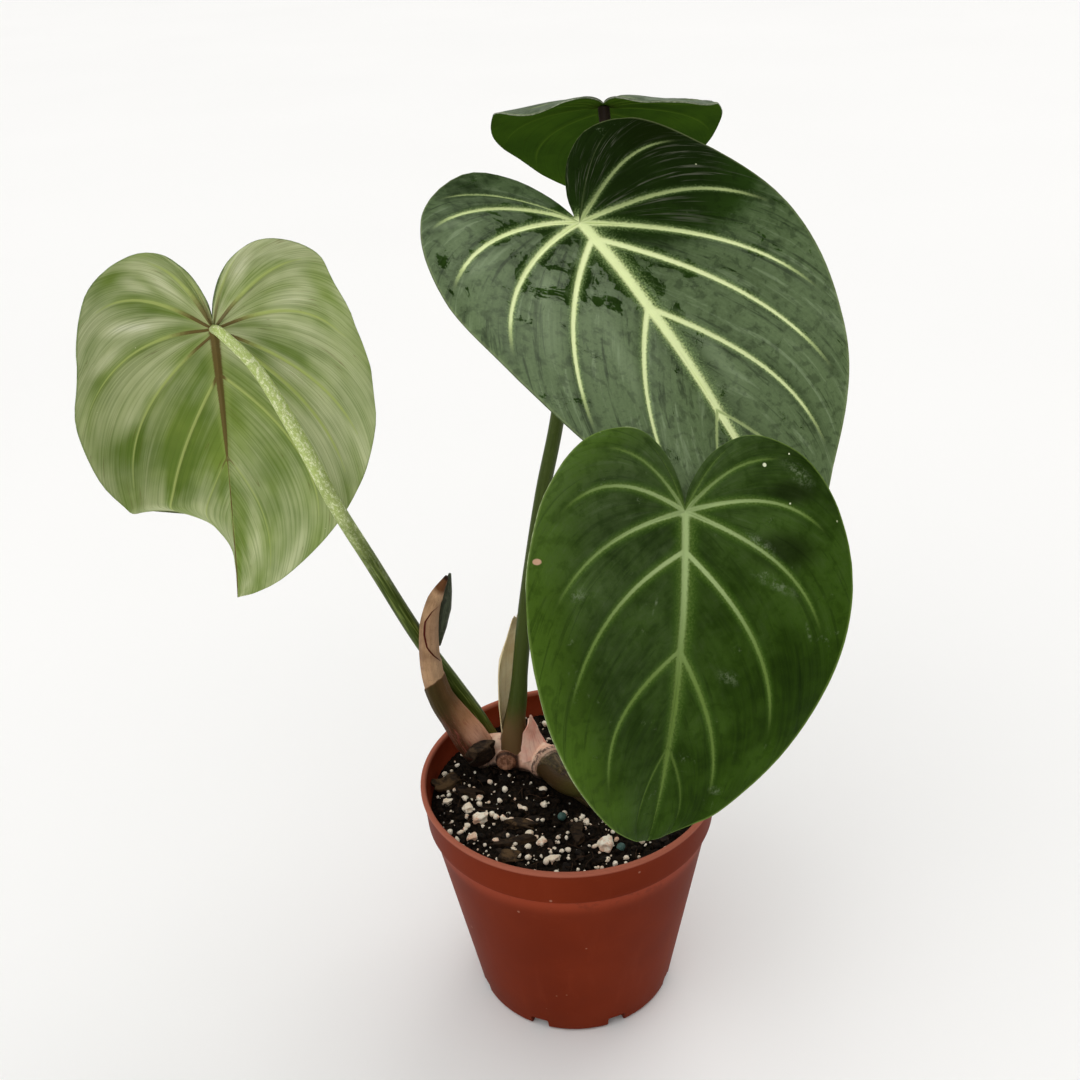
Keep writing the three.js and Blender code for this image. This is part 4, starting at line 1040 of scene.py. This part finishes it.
def shoot_finish():
    f = Finish("sleeve", Specular_IOR_Level=0.08)
    straight, place = f.mark("straight", "Vector"), f.place()
    side, s, past, inside = f.part(straight, 0), f.part(straight, 2), f.mark("past"), f.mark("inside")
    streak = f.streaks(straight, (1.5, 1.5, 0.06), 4, 0.65)
    fibre = f.streaks(straight, (4, 4, 0.2), 4, 0.65)
    patch, fine = f.noise(place, 120, 4, 0.6), f.noise(place, 900, 3, 0.7)
    lit = (side + (patch - 0.5) * 4).rise(-1.0, 4.4)
    f.ground(lit, "50301c", "c48c66")
    f.lay(lit * (s + (patch - 0.5) * 8).rise(20, 10) * 0.8, "dca88e")
    f.lay(streak.rise(0.5, 0.66) * (1 - lit * 0.4) * 0.65, "984a40")
    f.lay(fibre.rise(0.55, 0.7) * 0.3, "d8a88c")
    f.lay((s + (patch - 0.5) * 10).rise(14, 31) * (0.97 - lit * 0.15), f.blend(streak, "2c220a", "4e401a"))
    lower = f.tone
    f.ground(patch.rise(0.3, 0.7), "927052", "c09a74")
    f.lay(lit * 0.5, "dab694")
    f.lay(fibre.rise(0.45, 0.7) * 0.4, "7c5a40")
    f.lay(inside.rise(-0.1, 0.2) * 0.35, "a07c60")
    f.lay(inside.size().rise(0.42, 0.2), "4e140e")
    f.lay((s + (patch - 0.5) * 3).rise(77.5, 80), "6a4428")
    f.lay(s.rise(83.0, 84.2), "2e1c12")
    f.ground(past.rise(-0.12, 0.12), lower, f.tone)
    f.lay(past.size().rise(0.35, 0.1) * 0.6, "5a3a22")
    f.lay(fine.rise(0.62, 0.7) * 0.35, "4a2e20")
    f.lay((s + (patch - 0.5) * 6).rise(7, 3), "2a1c14")
    return f.wear(0.42 + patch * 0.25, streak * 0.35 + fibre * 0.2)


settle(shoot, ["shoot_sheath"], "sheath_pink", shoot_finish())

# %% The next leaf, rolled up
SPIKE = [[-46.4, 21.5, 138], [-44.6, 22.6, 147], [-42.4, 23, 156], [-40.8, 22.4, 163], [-39.8, 21.6, 168]]
SPIKE_RADII = [1, 2.3, 2.7, 1.9, 0.5]


def rolled_edge(angle, run, radius):
    """A spiral groove along the free edge of the roll, and shallow ridges."""
    return 1 - 0.16 * hump(angle + run * 0.03, 0.9, 0.25) + 0.03 * np.sin(6 * angle)


spike = stem("rolled_leaf", SPIKE, SPIKE_RADII, rings=60, roundness=10, press=rolled_edge)


def rolled_finish():
    f = Finish("rolled_leaf_skin", IOR=1.4)
    straight = f.mark("straight", "Vector")
    lines = f.streaks(straight, (2.4, 2.4, 0.1), 4, 0.65)
    f.ground(lines.rise(0.35, 0.65), "2c3424", "4e573f")
    f.lay(f.noise(straight, 0.5, 3).rise(0.55, 0.7) * 0.5, "6a705a")
    return f.wear(0.45 + lines * 0.2, lines * 0.25)


settle(spike, ["shoot_spike"], "spike", rolled_finish())

# %% [markdown]
# ## Papery scales
# Two dry scales clasp the foot of the middle stalk: a tall beige one behind it and a short pink one in
# front. Each is a grid rolled part of the way round the stalk's line, its free edges turned out a little,
# and thickened with Solidify.

# %% Scales
def scale_shell(name, points, radii, centre, spread, thick, flare, columns=40, rows=70):
    """A shell round a line: centre is the angle it faces, spread its reach to each side, in radians."""
    clear()
    bpy.ops.mesh.primitive_grid_add(x_subdivisions=columns, y_subdivisions=rows, size=1)
    scale = named(name)
    line, _ = even_line(points, 200)
    grid = read_points(scale)
    across, up = grid[:, 0] * 2, grid[:, 1] + 0.5
    angle = centre + across * read_at(spread, up)
    turned_out = flare * smooth(np.abs(across), 0.7, 1.0) * smooth(up, 0.1, 0.4)
    crumple = 0.18 * np.sin(11 * up + 2 * across) * smooth(up, 0.2, 0.6)
    radius = read_at(radii, up) + turned_out + 0.12 * np.sin(7 * angle + 3 * up) + crumple
    at = np.column_stack([read_at(axis, up) for axis in line.T])
    out = np.column_stack([radius * np.cos(angle), radius * np.sin(angle), 0.5 * np.sin(4 * across) * up])
    move_points(scale, (at + out) * MM)
    scale.data.uv_layers[0].name = "scale"
    with edit_all():
        bpy.ops.mesh.normals_make_consistent(inside=False)
    apply_modifier(scale, "SOLIDIFY", thickness=thick * MM, offset=0)
    return scale


def scale_finish(name, pale, tan, vein, tip, across=26.0):
    f = Finish(name, Specular_IOR_Level=0.25)
    chart, place = f.chart("scale"), f.place()
    lines = f.streaks(chart, (across, 1.4, 1), 4, 0.65)
    patch = f.noise(place, 130, 4, 0.6)
    f.ground(patch.rise(0.3, 0.7), pale, tan)
    f.lay(lines.rise(0.48, 0.7) * 0.5, vein)
    f.lay((f.part(chart, 1) + (patch - 0.5) * 0.2).rise(0.82, 1.0) * 0.6, tip)
    return f.wear(0.5 + patch * 0.25, lines * 0.22 + patch * 0.15)


TALL_LINE = [[-20.4, 19, 94], [-18.7, 20, 115], [-16.6, 21, 132], [-14.4, 21.6, 147]]
SHORT_LINE = [[-17.6, 18.4, 92], [-17.4, 18.4, 96], [-17.2, 18.4, 101], [-17.6, 18.4, 107]]
tall = scale_shell("tall_scale", TALL_LINE, radii=[4.4, 6.4, 7.3, 4.2], centre=2.35,
                   spread=[1.1, 1.25, 1.15, 0.25], thick=0.3, flare=0.25)
settle(tall, ["sheath_back"], "sheath_papery",
       scale_finish("tall_scale_skin", "fff0c4", "f0d8a0", "d4b880", "b49c6c"))
short = scale_shell("short_scale", SHORT_LINE, radii=[9.4, 7.0, 5.2, 4.2], centre=-0.35,
                    spread=[1.2, 1.25, 1.1, 0.35], thick=0.6, flare=0.2, columns=30, rows=40)
settle(short, ["sheath_side"], "sheath_pink",
       scale_finish("short_scale_skin", "ffd6c0", "f4a890", "b84a46", "f0c4ac", across=18.0))

# %% [markdown]
# ## The pot
# A thin moulded pot: a tapered wall, a small step out to a band under the lip, a rolled lip and eight slots
# at the foot. A cylinder would need every ring moved, so the section of the wall is drawn point by point by
# extruding a vertex and then spun round the axis. The sharp rings are bevelled, and the slots are cut with
# a ring of boxes.

# %% Pot
WALL_SECTION = [(0, 0), (36.8, 0), (38, 1.2), (52.1, 78.9), (53.4, 79.5), (54.2, 91.8), (55, 92.4),
                (55, 93.6), (54.6, 94), (53.5, 94), (53, 93.4), (51.7, 79.5), (36.6, 3), (35.6, 2), (0, 2)]
SPIN_STEPS = 144
FOOT_SLOTS, SLOT_AT, SLOT_SIZE = 8, (37.5, 0, 1.4), (9, 7, 7)
LIP_HIGHLIGHT, SUNLIT_WALL, INSIDE_SQUARED = 93.6, (70, 84), (2850, 2600)
clear()
bpy.ops.mesh.primitive_plane_add(size=2 * MM)
pot = named("pot_wall")
with edit_all():
    bpy.ops.mesh.select_mode(type="VERT")
    bpy.ops.mesh.merge(type="CENTER")
    for (r0, z0), (r1, z1) in zip(WALL_SECTION, WALL_SECTION[1:]):
        pieces = 6 if math.hypot(r1 - r0, z1 - z0) > 12 else 1
        step = ((r1 - r0) / pieces * MM, 0, (z1 - z0) / pieces * MM)
        for _ in range(pieces):
            bpy.ops.mesh.extrude_region_move(TRANSFORM_OT_translate={"value": step})
    bpy.ops.mesh.select_all(action="SELECT")
    bpy.ops.mesh.spin(steps=SPIN_STEPS, angle=2 * math.pi, center=(0, 0, 0), axis=(0, 0, 1))
    bpy.ops.mesh.select_all(action="SELECT")
    bpy.ops.mesh.remove_doubles(threshold=0.01 * MM)
    bpy.ops.mesh.normals_make_consistent(inside=False)
apply_modifier(pot, "BEVEL", width=0.3 * MM, segments=3, limit_method="ANGLE", angle_limit=math.radians(24))

clear()
bpy.ops.mesh.primitive_cube_add(size=1, location=in_metres(SLOT_AT), scale=in_metres(SLOT_SIZE))
cutter = named("slot_cutter")
bpy.ops.object.transform_apply(location=True, rotation=True, scale=True)
apply_modifier(cutter, "BEVEL", width=0.8 * MM, segments=3)
turns = [Matrix.Rotation((k + 0.5) * 2 * math.pi / FOOT_SLOTS, 4, "Z") for k in range(FOOT_SLOTS)]
ring_of_boxes = joined(*(moved_copy(cutter, turn_by) for turn_by in turns))
apply_modifier(pot, "BOOLEAN", operation="DIFFERENCE", object=ring_of_boxes, solver="EXACT")
for tool in (cutter, ring_of_boxes):
    bpy.data.objects.remove(tool)


def pot_finish():
    f = Finish("terracotta_plastic", Specular_IOR_Level=0.03)
    place = f.place()
    x, y, z = f.place_parts()
    cloud = f.noise(place, 22, 4, 0.55)
    flow = f.streaks(place, (160, 160, 9), 3, 0.6)
    grain = f.noise(place, 1800, 2, 0.6)
    f.ground(cloud.rise(0.3, 0.7), "6c240c", "782b12")
    f.lay(flow.rise(0.55, 0.75) * 0.2, "8a3a22")
    f.lay(f.specks(place, 260, 0.16, 0.06) * 0.5, "b98a74")
    f.lay(f.specks(place, 90, 0.07, 0.1) * 0.6, "4a2016")
    rub = f.noise(f.stretch(place, (70, 70, 420), (3, 1, 0)), 1.0, 5, 0.75).rise(0.62, 0.72) * 0.18
    f.lay(rub, "9c5238")
    # A painted highlight along the rolled lip.
    f.lay((z - LIP_HIGHLIGHT).size().rise(1.4, 0.4) * 0.7, "b9705a")
    inside = (x * x + y * y).rise(*INSIDE_SQUARED) * z.rise(*SUNLIT_WALL)
    f.lay(inside * 0.85, "c4583a")
    f.lay(inside * f.noise(place, 150, 5, 0.7).rise(0.55, 0.64) * 0.6, "2c1a12")
    return f.wear(0.4 + cloud * 0.1 + grain * 0.08 + rub, flow * 0.05 + grain * 0.02)


settle(pot, ["pot"], "pot_plastic", pot_finish(), sharp=35)

# %% [markdown]
# ## The soil
# The mix is black peat, uneven at every scale. A disc made as a fan of triangles would have a pole in the
# middle, so a square grid is pressed into a round one instead. It follows the mound of the solid, then
# noise textures raise it in clods and crumbs, and its edge is extruded down to the floor of the pot.

# %% Soil bed
SOIL_R, SOIL_LEVEL = 51.7, 84.5


def soil_height(x, y):
    coarse = np.sin(0.31 * x + 1.3) * np.cos(0.27 * y - 0.4) + 0.6 * np.sin(0.55 * x - 0.48 * y)
    fine = 0.5 * np.sin(1.1 * x + 0.7 * y) * np.cos(1.3 * y - 0.6 * x)
    return SOIL_LEVEL + 0.88 * (0.5 * coarse + fine)


def on_soil(x, y, above):
    """A place that is a little above the soil, in millimetres."""
    return x, y, soil_height(x, y) + above


CLODS = (("CLOUDS", 4.2, 2.6), ("STUCCI", 2.2, 0.9), ("CLOUDS", 1.1, 0.8))
EDGE_DOWN = ((4, 0.998), (70, 0.735), (5, 0.96))
clear()
bpy.ops.mesh.primitive_grid_add(x_subdivisions=210, y_subdivisions=210, size=2)
soil = named("soil_bed")
gx, gy, _ = read_points(soil).T
x, y = gx * np.sqrt(1 - gy ** 2 / 2) * SOIL_R, gy * np.sqrt(1 - gx ** 2 / 2) * SOIL_R
reach = np.hypot(x, y)
move_points(soil, np.column_stack([x, y, soil_height(x, y) - 1.4 * smooth(reach, 49, SOIL_R)]) * MM)
weigh(soil, "loose", 1 - smooth(reach, 50.3, 51.6))
for kind, size, strength in CLODS:
    texture = bpy.data.textures.new("crumb", kind)
    texture.noise_scale = size * MM
    apply_modifier(soil, "DISPLACE", texture=texture, strength=strength * MM, mid_level=0.55, direction="Z",
                   vertex_group="loose", texture_coords="LOCAL")
pick(soil)
with edit_all():
    bpy.ops.mesh.region_to_loop()
    for drop, scale in EDGE_DOWN:
        bpy.ops.mesh.extrude_region_move(TRANSFORM_OT_translate={"value": (0, 0, -drop * MM)})
        bpy.ops.transform.resize(value=(scale, scale, 1), center_override=(0, 0, 0))
    bpy.ops.mesh.edge_face_add()
    bpy.ops.mesh.select_all(action="SELECT")
    bpy.ops.mesh.normals_make_consistent(inside=False)


def soil_finish(name, deep, brown):
    f = Finish(name, Specular_IOR_Level=0.08)
    place = f.place()
    crumb, clod = f.noise(place, 900, 5, 0.75), f.noise(place, 190, 3, 0.6)
    dust = f.noise(place, 2600, 3, 0.7)
    f.ground(crumb.rise(0.42, 0.68), deep, brown)
    f.lay(clod.rise(0.58, 0.75) * 0.4, "241a11")
    f.lay(dust.rise(0.68, 0.74) * 0.4, "4c3c2c")
    f.lay(f.specks(place, 520, 0.22, 0.05) * 0.8, "d8d2c4")
    return f.wear(0.62 + crumb * 0.3, crumb * 0.7 + dust * 0.25)


settle(soil, ["soil"], "soil", soil_finish("peat", "0e0a07", "2c2116"))

# %% [markdown]
# ## What lies on the soil
# The mix shows white perlite from dust to popped grains of 7 mm, dark bark, root fibres and a few
# blue-green feed grains. Each kind is modelled once or a few times from a ball or a block whose points are
# moved, and then copied, turned and resized by seeded chance, each copy with its own mesh and its own
# shade.

# %% Lumps and chips
SEED = 73
rng = np.random.default_rng(SEED)


def knobbly(name, levels, uneven, pits=0.0, pit_size=0.5):
    """A ball of radius 1 mm with its points moved in and out."""
    clear()
    bpy.ops.mesh.primitive_ico_sphere_add(subdivisions=levels, radius=MM)
    ball = named(name)
    co = read_points(ball)
    way = rng.normal(size=(9, 3))
    sheen_mask = np.sin(co @ (way.T * 2600) + rng.uniform(0, 6, 9)).mean(1)
    move_points(ball, co * (1 + uneven * sheen_mask)[:, None] * 0.9)
    if pits:
        texture = bpy.data.textures.new("pits", "VORONOI")
        texture.noise_scale = pit_size * MM
        apply_modifier(ball, "DISPLACE", texture=texture, strength=pits * MM, mid_level=0.8,
                       texture_coords="LOCAL")
    return ball


def block_chip(name, uneven, levels=2, splinter=0.0):
    """A block of 1 mm with split ends and shifted corners."""
    clear()
    bpy.ops.mesh.primitive_cube_add(size=MM)
    chip = named(name)
    with edit_all():
        bpy.ops.mesh.subdivide(number_cuts=levels)
        bpy.ops.mesh.bevel(offset=0.05 * MM, segments=1)
    co = read_points(chip) / MM
    a, b = rng.normal(size=(3, 3)) * 3.2, rng.uniform(0, 6, 3)
    shift = uneven * np.sin(co @ a + b)
    co[:, 0] *= 1 - uneven * (0.5 + 0.5 * np.sin(9 * co[:, 1] + b[0])) * (0.6 + splinter)
    co[:, 1:] *= (1 - 0.5 * uneven * np.abs(2 * co[:, 0]) ** 3)[:, None]
    move_points(chip, (co + 0.5 * shift) * 0.9 * MM)
    return chip


def laid_copy(template, at, size, spin=0.0, tilt=(0, 0), lot=0.0):
    """A copy with its own place, size and turn; its finish takes the shade from lot."""
    turned = Matrix.Identity(4)
    for angle, axis in ((spin, "Z"), (tilt[1], "Y"), (tilt[0], "X")):
        turned = turned @ Matrix.Rotation(angle, 4, axis)
    copy = moved_copy(template, Matrix.Translation(Vector(at) * MM) @ turned @ Matrix.Diagonal((*size, 1)))
    set_mark(copy, "lot", np.full(len(copy.data.vertices), lot))
    return copy


def gathered(name, copies, nodes, slot, finish, sharp=50):
    group = joined(*copies)
    group.name = name
    settle(group, nodes, slot, finish, sharp=sharp)


# %% Finishes of the loose pieces
def perlite_finish():
    f = Finish("perlite", Specular_IOR_Level=0.2)
    place, lot = f.place(), f.mark("lot")
    stain, pore = f.noise(place, 300, 4, 0.65), f.noise(place, 1500, 4, 0.7)
    f.ground(stain.rise(0.3, 0.7), "fff6e2", "fae4c8")
    f.lay((stain + lot * 0.2).rise(0.62, 0.8) * 0.7, "e0a584")
    f.lay(pore.rise(0.42, 0.3) * 0.35, "a08c78")
    f.lay(f.noise(place, 800, 5, 0.8).rise(0.66, 0.74) * 0.6, "463a2e")
    return f.wear(0.7 + pore * 0.25, pore * 0.4 + stain * 0.3)


def bark_finish(name, deep, mid, pale):
    f = Finish(name, Specular_IOR_Level=0.15)
    place, lot = f.place(), f.mark("lot")
    grain = f.streaks(place, (420, 900, 900), 5, 0.7, 0.6)
    patch = f.noise(place, 260, 4, 0.6)
    f.ground(grain.rise(0.35, 0.65), deep, mid)
    f.lay((patch + lot * 0.25).rise(0.6, 0.82) * 0.7, pale)
    f.lay(f.noise(place, 1200, 4, 0.8).rise(0.6, 0.7) * 0.35, "1a120c")
    return f.wear(0.6 + patch * 0.3, grain * 0.6 + patch * 0.2)


def prill_finish():
    f = Finish("feed_grain", Specular_IOR_Level=0.3)
    place = f.place()
    cloud = f.noise(place, 500, 4, 0.6)
    f.ground(cloud.rise(0.35, 0.65), "34504a", "4c6e66")
    f.lay(f.noise(place, 1500, 3, 0.7).rise(0.6, 0.7) * 0.6, "2c2620")
    return f.wear(0.35 + cloud * 0.25, cloud * 0.15)


perlite, bark = perlite_finish(), bark_finish("bark", "1a120b", "3a2b1c", "6a5236")
bark_dark = bark_finish("bark_dark", "0c0907", "1f1710", "3a2c20")
bark_black = bark_finish("bark_black", "1c140e", "3a2c20", "5e4a36")

# %% The larger pieces, where the solids are
PERLITES = [(-33, -15, 3.3, 1.15, 20), (-37.6, -8.6, 2.5, 1.1, 70), (-35.4, -24.6, 2.2, 1.3, 60),
            (-45.5, -4.6, 2, 1.2, 10), (12.2, -31.9, 3.7, 1.1, 40), (-7, -37.5, 2, 2, 15),
            (-10.7, -28.6, 1.9, 1.3, 80), (3.9, -15.9, 1.8, 1.1, 0)]
PRILLS = [(-3, -15.5, 1.8), (17.4, -33.2, 1.8)]
BARK = [(-46.2, 6.5, 11, 6, 3, 25, 12), (-37, 0, 9, 6, 2.4, -35, -8), (-18, -19, 11, 4, 2.6, -5, 6),
        (-20, -27.5, 15, 3.4, 2.2, 6, -5), (2.5, -25, 4.4, 11, 2.4, 8, 8), (-22, -36, 8, 6, 3, 30, 10)]


def numbered(name, rows):
    return [f"{name}_{k + 1}" for k in range(len(rows))]


popped = [knobbly(f"popped_{k}", levels=4, uneven=0.34, pits=0.5, pit_size=0.75) for k in range(3)]
lumps = []
for k, (x, y, r, long, spin) in enumerate(PERLITES):
    size, stained = (r * long, r, r * 0.85), 1.0 - k % 2
    lumps.append(laid_copy(popped[k % 3], on_soil(x, y, 0.35 * r), size, math.radians(spin), lot=stained))
gathered("perlite_lumps", lumps, numbered("perlite", PERLITES), "perlite", perlite)

smooth_grain = knobbly("grain", levels=3, uneven=0.06)
prills = [laid_copy(smooth_grain, on_soil(x, y, r), (r, r, r)) for x, y, r in PRILLS]
gathered("feed_grains", prills, numbered("feed_prill", PRILLS), "prill", prill_finish())

block = [block_chip(f"block_{k}", uneven=0.3, levels=5) for k in range(3)]
chips = []
for k, (x, y, long, wide, thick, spin, tilt) in enumerate(BARK):
    tilts = (math.radians(tilt), math.radians(tilt / 2))
    chips.append(laid_copy(block[k % 3], on_soil(x, y, 0.35 * thick), (long, wide, thick * 1.1),
                           math.radians(spin), tilts, lot=rng.random()))
gathered("bark_chips", chips, numbered("bark_chip", BARK), "bark", bark)

leaning = laid_copy(block[1], at=(-33.0, 11.4, 95.8), size=(9.6, 6.4, 8.8), spin=math.radians(12),
                    tilt=(math.radians(20), math.radians(8)), lot=0.7)
gathered("leaning_bark", [leaning], ["bark_leaning"], "bark_dark", bark_black)

# %% [markdown]
# ## Small bits by the hundred
# Crumbs, perlite dust, flakes and fibres are strewn by seeded chance inside the rim and away from the
# creeping stem. Each has only a few faces, because there are hundreds of them.

# %% Crumbs, dust, flakes and fibres
CRUMBS, GRAINS, FLAKES, FIBRES = 900, 620, 110, 90
FIBRE_RADII = [0.08, 0.17, 0.14, 0.06]


def free_spot(clear_of=6.5, rim=49.5):
    """A place by chance, inside the rim and away from the line of the creeping stem."""
    while True:
        x, y = rng.uniform(-50, 50, 2)
        from_stem = np.hypot(creeper_path[:, 0] - x, creeper_path[:, 1] - y).min()
        if math.hypot(x, y) < rim and from_stem > clear_of:
            return x, y


def strewn(templates, count, size, flat=1.0, sink=0.2, rim=49.5, clear_of=6.5, long=1.3):
    """Copies by chance: size is the range of radii, sink how far up a middle lies, in radii."""
    made = []
    for k in range(count):
        x, y = free_spot(clear_of, rim)
        r = size[0] + (size[1] - size[0]) * rng.random() ** 2.2
        shape = (r * rng.uniform(0.8, long), r * rng.uniform(0.7, 1.0), r * flat)
        spin, tilt = rng.uniform(0, 6.28), rng.uniform(-0.5, 0.5, 2)
        template = templates[k % len(templates)]
        made.append(laid_copy(template, on_soil(x, y, r * sink), shape, spin, tilt, lot=rng.random()))
    return made


crumb = [knobbly(f"crumb_{k}", levels=2, uneven=0.5) for k in range(4)]
dust = [knobbly(f"dust_{k}", levels=2, uneven=0.45) for k in range(4)]
flake = [block_chip(f"flake_{k}", uneven=0.35, levels=1, splinter=0.3) for k in range(3)]
crumbs = strewn(crumb, CRUMBS, size=(0.5, 2.0), flat=0.8)
gathered("peat_crumbs", crumbs, [], "soil", soil_finish("peat_crumb", "0f0b08", "32251a"), sharp=80)
grains = strewn(dust, GRAINS, size=(0.24, 1.6), flat=0.85, sink=0.7)
gathered("perlite_grains", grains, [], "perlite", perlite, sharp=80)
flakes = strewn(flake, FLAKES, size=(1.0, 4.2), flat=0.28, rim=47, clear_of=7.5, long=1.9)
gathered("bark_flakes", flakes, [], "bark", bark_dark)

fibres = []
for _ in range(FIBRES):
    x, y = free_spot(clear_of=7.5, rim=44)
    way, reach, bend = rng.uniform(0, 6.28), rng.uniform(3, 11), rng.uniform(-0.6, 0.6)
    line = []
    for t in np.linspace(-0.5, 0.5, 5):
        px, py = x + reach * t * math.cos(way + bend * t), y + reach * t * math.sin(way + bend * t)
        line.append(on_soil(px, py, 0.75 + 0.5 * math.cos(3 * t)))
    fibres.append(stem("fibre", line, FIBRE_RADII, rings=9, roundness=0))
gathered("root_fibres", fibres, [], "bark", bark_finish("fibre", "2a1c12", "4a3524", "6b543c"))
for template in (*popped, smooth_grain, *block, *crumb, *dust, *flake):
    bpy.data.objects.remove(template)
